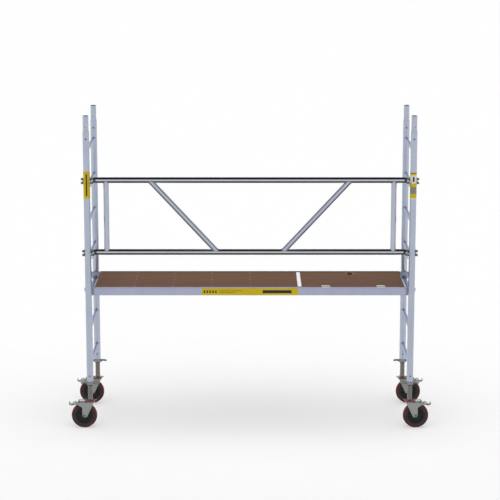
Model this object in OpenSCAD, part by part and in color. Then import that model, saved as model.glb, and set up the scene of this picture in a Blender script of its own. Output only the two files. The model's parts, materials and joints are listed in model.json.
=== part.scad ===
// Mobile room scaffold: two ladder frames on castors, a platform with a
// trapdoor, and a guardrail frame clipped to the front posts.
// Origin on the floor under the middle. X to the right, Y to the back, Z up.

/* [End frames] */
// Distance between the post axes along the platform
bay_length = 2490; // [2300:10:2600]
// Distance between the post axes across an end frame
frame_width = 690; // [680:1:700]
// Outer diameter of the posts
post_d = 50.8; // [50.8:0.1:51.4]
// Wall of the posts
post_wall = 2; // [1.8:0.1:2.4]
// Height of the lower end of the posts
post_low = 372; // [372:1:380]
// Height of the shoulder where the spigots start
post_top = 2330; // [2300:1:2340]
// Height of the spigot tips
spigot_top = 2450; // [2440:1:2460]
// Outer diameter of the spigots
spigot_d = 44.5; // [44:0.1:45]
// Height of the lowest rung
first_rung = 502; // [500:1:504]
// Distance from rung to rung
rung_pitch = 280; // [278:1:282]
// Number of rungs in one end frame
rung_count = 7; // [7]
// Outer diameter of the rungs
rung_d = 30; // [28:1:30]

/* [Guardrail] */
// Diameter of the two rails
rail_d = 45; // [44:1:45]
// How far the rails' axis stands behind the front posts' axis
rail_behind = 50; // [50:1:52]
// Height of a rail above the rung that its claws rest on
rail_above_rung = 46.5; // [46:0.5:48]
// Diameter of the uprights and braces
brace_d = 42; // [38:1:42]
// Distance of the uprights from the middle
upright_x = 1102; // [1080:1:1110]
// Distance of the braces' upper ends from the middle
brace_high_x = 770; // [740:1:800]
// Distance of the braces' lower ends from the middle
brace_low_x = 251; // [230:1:270]

/* [Platform] */
// Width over the two side beams
deck_width = 620; // [610:1:620]
// Length of the side beams between their hooks
beam_length = 2410; // [2410]
// Depth of the side beams below the deck's top
beam_depth = 58; // [56:1:60]
// Thickness of the plywood
ply = 9; // [9:0.5:10]
// Start of the cover profile between the fixed deck and the trapdoor
divider_x = 370; // [340:1:380]
// Height of the hinge axis above the deck
hinge_rise = 6; // [6:0.5:7]

/* [Legs and castors] */
// Outer diameter of the threaded spindle
spindle_d = 38; // [36:1:38]
// Diameter of the wheels
wheel_d = 200; // [200]
// Width of the tyres
tyre_w = 46; // [40:1:46]
// How far the wheel axle trails the swivel axis
trail = 49; // [48:1:50]
// Height of the fork's top plate
fork_top = 208; // [208:1:209]

/* [Hidden] */
$fn = 72;
post_x = bay_length / 2;
post_y = frame_width / 2;
post_r = post_d / 2;
post_bore_r = post_r - post_wall;
rung_r = rung_d / 2;
rail_r = rail_d / 2;
brace_r = brace_d / 2;
tube_wall = 2;
bar_skin = 0.02;
weld_gap = 0.05;
slide_gap = 0.1;
free_gap = 0.4;
through = 200;

// heights
function rung_z(i) = first_rung + i * rung_pitch;
deck_rung_z = rung_z(2);
low_rail_z = rung_z(3) + rail_above_rung;
top_rail_z = rung_z(5) + rail_above_rung;
rail_y = rail_behind - post_y;
deck_above_rung = 45;
deck_top = deck_rung_z + deck_above_rung;
ledge_z = deck_top - ply - 0.3;
beam_low = deck_top - beam_depth;
lip_rise = 5;
lip_top = deck_top + lip_rise;

// holes in the end frames
hole_r = 6;
lock_hole_r = 6.25;
leg_hole_z = 418;
spigot_hole_z = 2369;
spigot_rivet_z = 2273;
spigot_foot = 2230;
rivet_r = 5;

// corner legs
spindle_r = spindle_d / 2;
spindle_bore_r = 13;
spindle_top = 790;
stem_top = 214;
stem_flange_r = 27;
kingpin_r = 12;
nut_low = 341;
nut_r = 27;
handle_reach = 75;
wheel_r = wheel_d / 2;
core_r = 68;
sleeve_r = 10;
axle_r = 6;
fork_in = 27;
fork_out = 31;
fork_plate = 5;
pedal_pivot = [94, 199];
pedal_pin_r = 4;
yoke_low = 214.3;
yoke_high = 220;

// claws
claw_r = 45;
claw_bore_r = post_r + free_gap;
claw_half = 23;
claw_slot = 7;
rail_start = 65;
lever_half = 6;
lever_pivot = [40, 12];
lever_pin_r = 4;

// platform
beam_half = beam_length / 2;
deck_y = deck_width / 2;
lip_w = 9;
beam_w = 25;
beam_wall = 2;
beam_in = deck_y - beam_w;
panel_y = deck_y - lip_w - 0.5;
end_beam_w = 25;
divider_w = 31.5;
door_gap = 2.5;
door_x0 = divider_x + divider_w + door_gap;
door_x1 = beam_half - 7;
hinge_y = -deck_y + 24;
hinge_z = deck_top + hinge_rise;
hinge_xs = [587.5, 1015];
hinge_len = 66;
knuckle_r = 4.5;
hinge_pin_r = 2.2;
latch_x = 800;
latch_y = 222;
latch_size = [70, 78, 26];
latch_low = deck_top - ply - latch_size[2];
bolt_w = 20;
bolt_h = 8;
bolt_low = latch_low + 4.4;
divider_sink = 1;
divider_rise = 3;
divider_margin = 32;
side_gap = 0.1;
wind_pivot = [post_x - 31, deck_rung_z - 23];
wind_pin_r = 3;

alu = "lightsteelblue";
zinc = "darkgray";
cast = "gray";
black = "darkslategray";
red = "maroon";
brown = "saddlebrown";

CORNERS = [
    ["front_left", -1, -1],
    ["front_right", 1, -1],
    ["back_left", -1, 1],
    ["back_right", 1, 1]
];
CLAWS = [
    ["top_left", -1, top_rail_z],
    ["top_right", 1, top_rail_z],
    ["low_left", -1, low_rail_z],
    ["low_right", 1, low_rail_z]
];
SIDES = [["left", -1], ["right", 1]];
LEG_PARTS = ["post", "spindle", "wing_nut", "fork", "axle_bolt", "wheel_core", "tyre",
    "brake_pedal", "release_yoke"];
FRAME_PARTS = ["spigots", "spigot_rivets", "guard_rails", "guard_uprights", "guard_braces",
    "rail_claws", "deck_side_beams", "deck_cross_beams", "deck_hooks", "fixed_deck",
    "deck_divider", "hinge_base_leaves", "trapdoor_panel", "hinge_door_leaves",
    "latch_housing", "latch_bolt"];

// ---- helpers ----

// A corner's own frame: x outward, y away from the middle, origin under the post.
module at_corner(sx, sy) {
    translate([sx * post_x, sy * post_y, 0])
        mirror([sx < 0 ? 1 : 0, 0, 0])
            mirror([0, sy < 0 ? 1 : 0, 0])
                children();
}

// A claw's own frame: x towards the middle of the bay, y to the back, origin on the post axis.
module at_claw(sx, z) {
    translate([sx * post_x, -post_y, z])
        mirror([sx > 0 ? 1 : 0, 0, 0])
            children();
}

// One end of the platform: x outward.
module at_end(sx) {
    mirror([sx < 0 ? 1 : 0, 0, 0]) children();
}

module tube(r, wall, z0, z1) {
    translate([0, 0, z0])
        difference() {
            cylinder(r = r, h = z1 - z0);
            translate([0, 0, -1]) cylinder(r = r - wall, h = z1 - z0 + 2);
        }
}

// A cylinder along Y through the origin.
module y_rod(r, y0, y1) {
    translate([0, y0, 0]) rotate([-90, 0, 0]) cylinder(r = r, h = y1 - y0);
}

// A cylinder along X through the origin.
module x_rod(r, x0, x1) {
    translate([x0, 0, 0]) rotate([0, 90, 0]) cylinder(r = r, h = x1 - x0);
}

// A flat outline drawn in x and z, given its thickness along Y.
module xz_plate(y0, y1) {
    translate([0, y1, 0]) rotate([90, 0, 0]) linear_extrude(y1 - y0) children();
}

// A round-ended bar from p to q in the plane. Its straight sides lie a hair inside the round
// ends, so that bars that bend into each other meet in clean corners.
module bar_2d(p, q, w) {
    d = q - p;
    side = w - 2 * bar_skin;
    translate(p) circle(d = w);
    translate(q) circle(d = w);
    translate(p) rotate(atan2(d[1], d[0])) translate([0, -side / 2]) square([norm(d), side]);
}

// A bent strip through the points.
module strip_2d(points, w) {
    for (i = [0 : len(points) - 2]) bar_2d(points[i], points[i + 1], w);
}

// A ring sector from angle a0 to a1, counted anticlockwise from x.
module sector_2d(r0, r1, a0, a1) {
    steps = 6;
    reach = 2 * r1;
    difference() {
        circle(r = r1);
        circle(r = r0);
        polygon(concat([[0, 0]], [for (i = [0 : steps])
            let (a = a1 + (a0 + 360 - a1) * i / steps) reach * [cos(a), sin(a)]]));
    }
}

// ---- end frames ----

module post(sx, sy) {
    color(alu)
        translate([sx * post_x, sy * post_y, 0])
            difference() {
                tube(post_r, post_wall, post_low, post_top);
                translate([0, 0, leg_hole_z]) y_rod(hole_r, -through, through);
                translate([0, 0, spigot_rivet_z]) y_rod(rivet_r + weld_gap, -through, through);
            }
}

module rungs(sx) {
    color(alu)
        difference() {
            for (i = [0 : rung_count - 1])
                translate([sx * post_x, 0, rung_z(i)])
                    difference() {
                        y_rod(rung_r, -post_y, post_y);
                        y_rod(rung_r - tube_wall, -post_y - 1, post_y + 1);
                    }
            for (sy = [-1, 1])
                translate([sx * post_x, sy * post_y, post_low])
                    cylinder(r = post_r + weld_gap, h = post_top - post_low);
        }
}

module spigot() {
    difference() {
        rotate_extrude()
            polygon([
                [spigot_d / 2 - 3, spigot_foot],
                [post_bore_r - slide_gap, spigot_foot],
                [post_bore_r - slide_gap, post_top],
                [spigot_d / 2, post_top],
                [spigot_d / 2, spigot_top - 3],
                [spigot_d / 2 - 1.5, spigot_top],
                [spigot_d / 2 - 3, spigot_top]
            ]);
        translate([0, 0, spigot_hole_z]) y_rod(lock_hole_r, -through, through);
        translate([0, 0, spigot_rivet_z]) y_rod(rivet_r + weld_gap, -through, through);
    }
}

module spigots() {
    color(alu)
        for (c = CORNERS) translate([c[1] * post_x, c[2] * post_y, 0]) spigot();
}

module spigot_rivets() {
    head = 3;
    color(cast)
        for (c = CORNERS)
            translate([c[1] * post_x, c[2] * post_y, spigot_rivet_z]) {
                y_rod(rivet_r, -post_r - 1, post_r + 1);
                for (sy = [-1, 1])
                    mirror([0, sy < 0 ? 1 : 0, 0])
                        y_rod(rivet_r + 2, post_r + weld_gap, post_r + head);
            }
}

// ---- guardrail ----

module guard_rails() {
    half = post_x - rail_start;
    color(alu)
        for (z = [low_rail_z, top_rail_z])
            translate([0, rail_y, z])
                difference() {
                    x_rod(rail_r, -half, half);
                    x_rod(rail_r - tube_wall, -half - 1, half + 1);
                }
}

// Removes what lies inside the rails, so that tubes meet them in a coped end.
module between_rails() {
    difference() {
        children();
        for (z = [low_rail_z, top_rail_z])
            translate([0, rail_y, z]) x_rod(rail_r + weld_gap, -post_x, post_x);
    }
}

module guard_uprights() {
    color(alu)
        between_rails()
            for (sx = [-1, 1])
                translate([sx * upright_x, rail_y, 0])
                    tube(brace_r, tube_wall, low_rail_z, top_rail_z);
}

module guard_braces() {
    rise = top_rail_z - low_rail_z;
    run = brace_high_x - brace_low_x;
    lean = atan2(run, rise);
    color(alu)
        between_rails()
            for (sx = [-1, 1])
                mirror([sx < 0 ? 1 : 0, 0, 0])
                    translate([brace_low_x, rail_y, low_rail_z])
                        rotate([0, lean, 0]) tube(brace_r, tube_wall, 0, norm([run, rise]));
}

// A half ring round the post, with an arm that plugs into the rail's end and a slot for the lever.
module claw() {
    plug_r = rail_r - tube_wall - slide_gap;
    plug_len = 42;
    neck_r = rail_r - 2;
    neck_x = 8;
    collar_w = 9;
    boss_r = 10;
    slot_reach = 2 * claw_r + 10;
    slot_back = 26;
    difference() {
        union() {
            translate([0, 0, -claw_half])
                linear_extrude(2 * claw_half) {
                    sector_2d(claw_bore_r, claw_r, -2, 195);
                    translate(lever_pivot) circle(r = boss_r);
                }
            translate([0, rail_behind, 0]) {
                x_rod(neck_r, neck_x, rail_start - collar_w + 1);
                x_rod(rail_r, rail_start - collar_w, rail_start - weld_gap);
                x_rod(plug_r, rail_start - 1, rail_start + plug_len);
            }
        }
        cylinder(r = claw_bore_r, h = through, center = true);
        translate([-slot_reach / 2, slot_back - slot_reach, -claw_slot])
            cube([slot_reach, slot_reach, 2 * claw_slot]);
        translate([lever_pivot[0], lever_pivot[1], 0])
            cylinder(r = lever_pin_r + slide_gap, h = through, center = true);
    }
}

module rail_claws() {
    color(cast)
        for (c = CLAWS) at_claw(c[1], c[2]) claw();
}

// A pawl that closes the claw's mouth in front of the post, its pin and its thumb tab below.
module claw_lever(sx, z) {
    pawl_r = 36;
    pawl_w = 12;
    head_r = lever_pin_r + 2.5;
    head_h = 2.5;
    tab_low = -41;
    tab_h = 16;
    color(zinc)
        at_claw(sx, z) {
            translate([0, 0, -lever_half])
                linear_extrude(2 * lever_half) {
                    sector_2d(claw_bore_r + free_gap, pawl_r, -55, 8);
                    difference() {
                        bar_2d([pawl_r - 3, 3], lever_pivot, pawl_w);
                        circle(r = claw_bore_r + free_gap);
                    }
                    translate(lever_pivot) circle(r = 2 * lever_pin_r);
                }
            translate([lever_pivot[0], lever_pivot[1], tab_low])
                cylinder(r = lever_pin_r, h = claw_half + free_gap + head_h - tab_low);
            translate([lever_pivot[0], lever_pivot[1], claw_half + free_gap])
                cylinder(r = head_r, h = head_h);
            translate([0, 0, tab_low])
                linear_extrude(tab_h) strip_2d([lever_pivot, [36, -4], [31.5, -13]], 5);
        }
}

// ---- platform ----

// The beam's section in y and z, for the back beam.
module beam_2d() {
    difference() {
        polygon([
            [beam_in, beam_low],
            [deck_y, beam_low],
            [deck_y, lip_top - 7],
            [deck_y - 6, lip_top],
            [deck_y - lip_w, lip_top],
            [deck_y - lip_w, ledge_z],
            [beam_in, ledge_z]
        ]);
        translate([beam_in + beam_wall, beam_low + beam_wall])
            square([beam_w - 2 * beam_wall, ledge_z - beam_low - 2 * beam_wall]);
    }
}

module deck_side_beams() {
    strike_w = bolt_w + 6;
    strike_h = bolt_h + 6;
    color(alu)
        difference() {
            for (sy = [-1, 1])
                mirror([0, sy < 0 ? 1 : 0, 0])
                    translate([-beam_half, 0, 0])
                        rotate([90, 0, 90]) linear_extrude(beam_length) beam_2d();
            translate([latch_x - strike_w / 2, beam_in - 1, bolt_low + bolt_h / 2 - strike_h / 2])
                cube([strike_w, beam_wall + 2, strike_h]);
        }
}

// A rectangular tube across the platform, from side beam to side beam.
module cross_bar(x, w, z0) {
    half = beam_in - weld_gap;
    difference() {
        translate([x - w / 2, -half, z0]) cube([w, 2 * half, ledge_z - z0]);
        translate([x - w / 2 + tube_wall, -half - 1, z0 + tube_wall])
            cube([w - 2 * tube_wall, 2 * half + 2, ledge_z - z0 - 2 * tube_wall]);
    }
}

module deck_cross_beams() {
    bar_xs = [-900, -600, -300, 0];
    bar_w = 40;
    bar_low = ledge_z - 32;
    divider_bar_w = 50;
    ear_y = 8;
    ear_w = 4;
    ear_h = 16;
    color(alu) {
        for (x = bar_xs) cross_bar(x, bar_w, bar_low);
        cross_bar(divider_x + divider_w - 8.5, divider_bar_w, bar_low);
        for (sx = [-1, 1])
            at_end(sx) {
                cross_bar(beam_half - end_beam_w / 2, end_beam_w, beam_low);
                for (sy = [-1, 1])
                    mirror([0, sy < 0 ? 1 : 0, 0])
                        xz_plate(ear_y, ear_y + ear_w)
                            difference() {
                                bar_2d([beam_half + 5, beam_low + ear_h / 2], wind_pivot, ear_h);
                                translate([-post_x, 0]) square([beam_half + post_x, 2 * post_x]);
                                translate(wind_pivot) circle(r = wind_pin_r + slide_gap);
                            }
            }
    }
}

// Outline of a rung hook in x and z, from the beam's end outward.
module hook_2d() {
    channel_r = rung_r + free_gap;
    difference() {
        polygon([
            [beam_half + weld_gap, beam_low],
            [post_x + 19, beam_low],
            [post_x + 26, beam_low + 8],
            [post_x + 36, beam_low + 44],
            [post_x + 36, beam_low + 54],
            [post_x + 30, deck_top + 1],
            [beam_half + weld_gap, deck_top + 1]
        ]);
        translate([post_x, deck_rung_z]) circle(r = channel_r);
        translate([post_x - channel_r, deck_rung_z - through]) square([2 * channel_r, through]);
    }
}

module deck_hooks() {
    hook_w = 38;
    color(cast)
        for (sx = [-1, 1], sy = [-1, 1])
            at_end(sx)
                mirror([0, sy < 0 ? 1 : 0, 0])
                    xz_plate(deck_y - hook_w, deck_y) hook_2d();
}

// A catch that reaches under the rung, with a finger grip that hangs down and its pin.
module wind_lock(sx) {
    finger_w = 8;
    half = 7.5;
    pin_half = 14;
    color(zinc)
        at_end(sx) {
            xz_plate(-half, half) {
                bar_2d(wind_pivot, wind_pivot + [36, -2], finger_w);
                bar_2d(wind_pivot, wind_pivot + [-4, -30], finger_w);
            }
            translate([wind_pivot[0], 0, wind_pivot[1]]) y_rod(wind_pin_r, -pin_half, pin_half);
        }
}

// The fixed board, rebated for the cover profile, and the filler strip in front of the trapdoor.
module fixed_deck() {
    strip_w = 16;
    low = deck_top - ply;
    panel_end = divider_x + divider_w;
    color(brown) {
        difference() {
            translate([-beam_half, -panel_y, low]) cube([beam_half + panel_end, 2 * panel_y, ply]);
            translate([divider_x - side_gap, divider_margin - panel_y - side_gap, deck_top - divider_sink])
                cube([divider_w + 1, 2 * (panel_y - divider_margin + side_gap), ply]);
        }
        translate([panel_end + door_gap, -panel_y, low])
            cube([beam_half - panel_end - door_gap, strip_w, ply]);
    }
}

module deck_divider() {
    color("white")
        translate([divider_x, divider_margin - panel_y, deck_top - divider_sink])
            cube([divider_w, 2 * (panel_y - divider_margin), divider_sink + divider_rise]);
}

module trapdoor_panel() {
    door_y0 = hinge_y + 3;
    color(brown)
        difference() {
            translate([door_x0, door_y0, deck_top - ply])
                cube([door_x1 - door_x0, panel_y - door_y0, ply]);
            translate([latch_x, latch_y, deck_top - ply - 1])
                linear_extrude(ply + 2) bar_2d([0, -14], [0, 14], 44);
        }
}

// Cuts a hinge into knuckles: kept where keep is 1, over fixed, door, fixed thirds.
module knuckles(keep) {
    gap = 0.4;
    third = hinge_len / 3;
    for (x = hinge_xs, i = [0 : 2])
        if (keep[i] == 1)
            translate([x - hinge_len / 2 + i * third + gap / 2, hinge_y, hinge_z])
                difference() {
                    x_rod(knuckle_r, 0, third - gap);
                    x_rod(hinge_pin_r + slide_gap, -1, third);
                }
}

module hinge_base_leaves() {
    leaf_z = lip_top + 0.3;
    leaf_h = 2.5;
    third = hinge_len / 3;
    y0 = -deck_y + 1;
    color("white") {
        difference() {
            union() {
                knuckles([1, 0, 1]);
                for (x = hinge_xs)
                    translate([x - hinge_len / 2 + 0.2, y0, leaf_z])
                        cube([hinge_len - 0.4, hinge_y - y0, leaf_h]);
            }
            for (x = hinge_xs)
                translate([x - third / 2, hinge_y, hinge_z])
                    x_rod(knuckle_r + 1, 0, third);
            for (x = hinge_xs)
                translate([x, hinge_y, hinge_z])
                    x_rod(hinge_pin_r + slide_gap, -hinge_len, hinge_len);
        }
        for (x = hinge_xs)
            translate([x, hinge_y, hinge_z]) x_rod(hinge_pin_r, -hinge_len / 2, hinge_len / 2);
    }
}

module hinge_door_leaves() {
    third = hinge_len / 3;
    leaf_w = 50;
    leaf_h = 3;
    color("white")
        difference() {
            union() {
                knuckles([0, 1, 0]);
                for (x = hinge_xs) {
                    translate([x - hinge_len / 2, hinge_y + knuckle_r + 1.5, deck_top])
                        cube([hinge_len, leaf_w, leaf_h]);
                    translate([x - third / 2 + 0.2, hinge_y, deck_top + leaf_h / 2])
                        cube([third - 0.4, knuckle_r + 3, leaf_h / 2]);
                }
            }
            for (x = hinge_xs)
                translate([x, hinge_y, hinge_z])
                    x_rod(hinge_pin_r + slide_gap, -hinge_len, hinge_len);
        }
}

// A tray under the finger hole, with a channel to the back for the bolt.
module latch_housing() {
    wall = 4;
    floor_h = 3;
    finger_w = 44;
    channel_w = bolt_w + 2;
    channel_h = bolt_h + 2.4;
    rivet_x = 29;
    color(black) {
        difference() {
            translate([latch_x - latch_size[0] / 2, latch_y - latch_size[1] / 2, latch_low])
                cube(latch_size);
            translate([latch_x - finger_w / 2, latch_y - latch_size[1] / 2 + wall, latch_low + floor_h])
                cube([finger_w, latch_size[1] - 2 * wall, latch_size[2]]);
            translate([latch_x - channel_w / 2, latch_y, bolt_low - free_gap])
                cube([channel_w, latch_size[1], channel_h]);
        }
        for (sx = [-1, 1])
            translate([latch_x + sx * rivet_x, latch_y + 8, deck_top + weld_gap])
                cylinder(r = rivet_r, h = 1.5);
    }
}

// The flat bolt with its upright thumb tab, drawn back clear of the beam.
module latch_bolt() {
    tab_y = latch_y - 26;
    tab_w = 6;
    tab_h = 24;
    clear = 2;
    color(zinc)
        translate([latch_x - bolt_w / 2, tab_y, bolt_low]) {
            cube([bolt_w, beam_in - clear - tab_y, bolt_h]);
            cube([bolt_w, tab_w, tab_h]);
        }
}

// ---- legs ----

// The screw tube, its flange and kingpin, the cap that holds the fork up, and the stem bolt.
module spindle(sx, sy) {
    plate_low = fork_top - fork_plate;
    cap_r = 17;
    cap_h = 4;
    play = 0.5;
    stem_solid = stem_top + 120;
    bolt_r = 5;
    color(zinc)
        at_corner(sx, sy)
            difference() {
                union() {
                    rotate_extrude()
                        polygon([
                            [0, plate_low - play - cap_h],
                            [cap_r, plate_low - play - cap_h],
                            [cap_r, plate_low - play],
                            [kingpin_r, plate_low - play],
                            [kingpin_r, fork_top + play],
                            [stem_flange_r, fork_top + play],
                            [stem_flange_r, stem_top],
                            [spindle_r, stem_top],
                            [spindle_r, spindle_top],
                            [spindle_bore_r, spindle_top],
                            [spindle_bore_r, stem_solid],
                            [0, stem_solid]
                        ]);
                    translate([0, 0, stem_top + 12]) y_rod(bolt_r, -spindle_r - 4, spindle_r + 6);
                }
                translate([0, 0, plate_low - 6]) cylinder(r = 3, h = 10);
            }
}

module wing_nut(sx, sy) {
    nut_top = post_low - free_gap;
    arm_w = 14;
    arm_z = nut_low + 20;
    arm_tip = handle_reach - arm_w / 2;
    color(cast)
        at_corner(sx, sy)
            union() {
                rotate_extrude()
                    polygon([
                        [spindle_r + slide_gap, nut_low],
                        [nut_r - 5, nut_low],
                        [nut_r, nut_low + 6],
                        [nut_r, nut_top],
                        [spindle_r + slide_gap, nut_top]
                    ]);
                for (side = [0, 1])
                    mirror([side, 0, 0])
                        xz_plate(-arm_w / 2, arm_w / 2) {
                            strip_2d([[nut_r + 1, arm_z], [46, arm_z + 1], [arm_tip, arm_z - 2]], arm_w);
                            polygon([[nut_r - 2, nut_low + 5], [44, arm_z - 5], [nut_r - 2, arm_z]]);
                        }
            }
}

// Side outline of the fork in x and z.
module fork_2d() {
    foot_x = trail - 4;
    foot_z = wheel_r + 5;
    foot_r = 18.5;
    difference() {
        union() {
            polygon([
                [-25, fork_top],
                [-25, fork_top - 9],
                [foot_x - 18, wheel_r - 4],
                [foot_x + 18, wheel_r - 4],
                [foot_x + 18, 166],
                [98, 186],
                [102, 192],
                [102, 204],
                [98, fork_top]
            ]);
            translate([foot_x, foot_z]) circle(r = foot_r);
        }
        translate([trail, wheel_r]) circle(r = axle_r + slide_gap);
        translate(pedal_pivot) circle(r = pedal_pin_r + slide_gap);
    }
}

module fork(sx, sy) {
    race_r = 34;
    race_h = 4;
    top_x0 = -25;
    top_len = 105;
    color(zinc)
        at_corner(sx, sy)
            difference() {
                union() {
                    xz_plate(fork_in, fork_out) fork_2d();
                    xz_plate(-fork_out, -fork_in) fork_2d();
                    translate([top_x0, -fork_in - 1, fork_top - fork_plate])
                        cube([top_len, 2 * fork_in + 2, fork_plate]);
                    translate([0, 0, fork_top - fork_plate])
                        cylinder(r = race_r, h = fork_plate + race_h);
                }
                translate([0, 0, fork_top]) cylinder(r = stem_flange_r + free_gap, h = 20);
                cylinder(r = kingpin_r + slide_gap, h = 3 * fork_top);
            }
}

module axle_bolt(sx, sy) {
    hex_r = 10.5;
    head_h = 6.5;
    nut_h = 7;
    color(zinc)
        at_corner(sx, sy)
            translate([trail, 0, wheel_r]) {
                y_rod(axle_r, -fork_out - nut_h - 1, fork_out + head_h - 0.5);
                y_rod(sleeve_r, -fork_in + free_gap, fork_in - free_gap);
                translate([0, fork_out + weld_gap, 0])
                    rotate([-90, 0, 0]) cylinder(r = hex_r, h = head_h, $fn = 6);
                translate([0, -fork_out - weld_gap, 0])
                    rotate([90, 0, 0]) cylinder(r = hex_r, h = nut_h, $fn = 6);
            }
}

module wheel_core(sx, sy) {
    hub_r = 22;
    hub_half = 25;
    rim_half = 20;
    rim_in = core_r - 8;
    color(black)
        at_corner(sx, sy)
            translate([trail, 0, wheel_r])
                rotate([90, 0, 0])
                    rotate_extrude()
                        polygon([
                            [sleeve_r + slide_gap, -hub_half],
                            [hub_r, -hub_half],
                            [hub_r + 3, -10],
                            [rim_in - 4, -8],
                            [rim_in, -rim_half],
                            [core_r, -rim_half],
                            [core_r, rim_half],
                            [rim_in, rim_half],
                            [rim_in - 4, 8],
                            [hub_r + 3, 10],
                            [hub_r, hub_half],
                            [sleeve_r + slide_gap, hub_half]
                        ]);
}

module tyre(sx, sy) {
    crown_r = 46;
    half = tyre_w / 2;
    color(red)
        at_corner(sx, sy)
            translate([trail, 0, wheel_r])
                rotate([90, 0, 0])
                    rotate_extrude()
                        intersection() {
                            translate([core_r + weld_gap, -half]) square([wheel_r, tyre_w]);
                            translate([wheel_r - crown_r, 0]) circle(r = crown_r);
                        }
}

// A bent sheet from the pivot to the upturned toe, an arched tread on it and a shoe over the tyre.
module brake_pedal(sx, sy) {
    half = 22;
    sheet = 5;
    arch_sheet = 3.5;
    hub_r = 5.5;
    bend = [106, 194];
    sheet_line = [pedal_pivot, bend, [140, 184.5], [155, 184.5], [163, 191], [164.5, 202]];
    arch_line = [bend, [112, 203], [122, 206], [134, 201], [145, 187]];
    shoe = [[100, 196], [126, 188.5], [120, 185.5], [108, 186.5]];
    color(zinc)
        at_corner(sx, sy) {
            xz_plate(-half, half) {
                strip_2d(sheet_line, sheet);
                strip_2d(arch_line, arch_sheet);
                polygon(shoe);
                translate(pedal_pivot) circle(r = hub_r);
            }
            translate([pedal_pivot[0], 0, pedal_pivot[1]])
                y_rod(pedal_pin_r, -fork_out - 3, fork_out + 3);
        }
}

// A flat ring round the stem on two arms from the pedal's pivot, with a hooked toe to the back.
module release_yoke(sx, sy) {
    ring_in = 31;
    ring_out = 39;
    arm_in = 22.4;
    arm_out = 26.5;
    arm_h = 11;
    ring_h = yoke_high - yoke_low;
    mid = (yoke_low + yoke_high) / 2;
    toe_line = [[-35, mid], [-41, mid + 1], [-47, yoke_high + 4]];
    toe_half = 10;
    bump_x = 35;
    bump_r = 5;
    bump_h = 12;
    color(red)
        at_corner(sx, sy) {
            difference() {
                union() {
                    for (side = [0, 1])
                        mirror([0, side, 0])
                            xz_plate(arm_in, arm_out)
                                strip_2d([pedal_pivot, [91, mid]], arm_h);
                    translate([0, 0, yoke_low])
                        linear_extrude(ring_h)
                            difference() {
                                union() {
                                    circle(r = ring_out);
                                    translate([30, -arm_out]) square([60, 2 * arm_out]);
                                }
                                circle(r = ring_in);
                            }
                    xz_plate(-toe_half, toe_half) strip_2d(toe_line, 4);
                    translate([bump_x, 0, yoke_low]) cylinder(r = bump_r, h = bump_h);
                }
                translate([pedal_pivot[0], 0, pedal_pivot[1]])
                    y_rod(pedal_pin_r + slide_gap, -through, through);
            }
        }
}

// ---- nodes ----

spigots();
spigot_rivets();
guard_rails();
guard_uprights();
guard_braces();
rail_claws();
deck_side_beams();
deck_cross_beams();
deck_hooks();
fixed_deck();
deck_divider();
hinge_base_leaves();
trapdoor_panel();
hinge_door_leaves();
latch_housing();
latch_bolt();

for (s = SIDES) {
    rungs(s[1]);
    wind_lock(s[1]);
}

for (c = CLAWS)
    claw_lever(c[1], c[2]);

for (c = CORNERS) {
    post(c[1], c[2]);
    spindle(c[1], c[2]);
    wing_nut(c[1], c[2]);
    fork(c[1], c[2]);
    axle_bolt(c[1], c[2]);
    wheel_core(c[1], c[2]);
    tyre(c[1], c[2]);
    brake_pedal(c[1], c[2]);
    release_yoke(c[1], c[2]);
}
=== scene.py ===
import json
import math

import bmesh
import bpy
from mathutils import Matrix, Vector


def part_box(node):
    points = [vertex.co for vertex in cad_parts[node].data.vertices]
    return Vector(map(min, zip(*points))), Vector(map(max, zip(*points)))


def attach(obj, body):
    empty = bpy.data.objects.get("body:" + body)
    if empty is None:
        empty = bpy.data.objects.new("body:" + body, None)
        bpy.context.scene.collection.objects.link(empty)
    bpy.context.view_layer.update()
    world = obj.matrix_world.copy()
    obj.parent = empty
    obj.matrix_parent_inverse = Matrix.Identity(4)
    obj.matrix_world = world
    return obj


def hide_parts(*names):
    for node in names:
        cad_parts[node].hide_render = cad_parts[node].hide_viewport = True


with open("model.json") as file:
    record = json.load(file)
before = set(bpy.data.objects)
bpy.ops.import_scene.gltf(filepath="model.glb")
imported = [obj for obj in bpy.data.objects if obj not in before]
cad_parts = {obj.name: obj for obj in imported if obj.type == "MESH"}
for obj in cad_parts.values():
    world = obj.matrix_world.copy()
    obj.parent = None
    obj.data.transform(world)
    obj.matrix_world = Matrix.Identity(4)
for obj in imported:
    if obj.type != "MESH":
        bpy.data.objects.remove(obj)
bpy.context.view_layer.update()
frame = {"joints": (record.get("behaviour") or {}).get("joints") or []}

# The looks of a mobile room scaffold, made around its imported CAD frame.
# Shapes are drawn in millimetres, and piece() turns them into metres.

MM = 0.001

# ---- names and driving dimensions, in millimetres, most of them read from the frame ----

# Signs of x and y; for the claws, the sign of x and the rail; for the sides, the sign of x.
CORNERS = {"front_left": (-1, -1), "front_right": (1, -1), "back_left": (-1, 1), "back_right": (1, 1)}
CLAWS = {"top_left": (-1, 1), "top_right": (1, 1), "low_left": (-1, 0), "low_right": (1, 0)}
SIDES = {"left": -1, "right": 1}


def box_mm(node):
    low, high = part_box(node)
    return low / MM, high / MM


def joint_mm(name):
    return Vector(next(j for j in frame["joints"] if j["name"] == name)["pos_m"]) / MM


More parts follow.
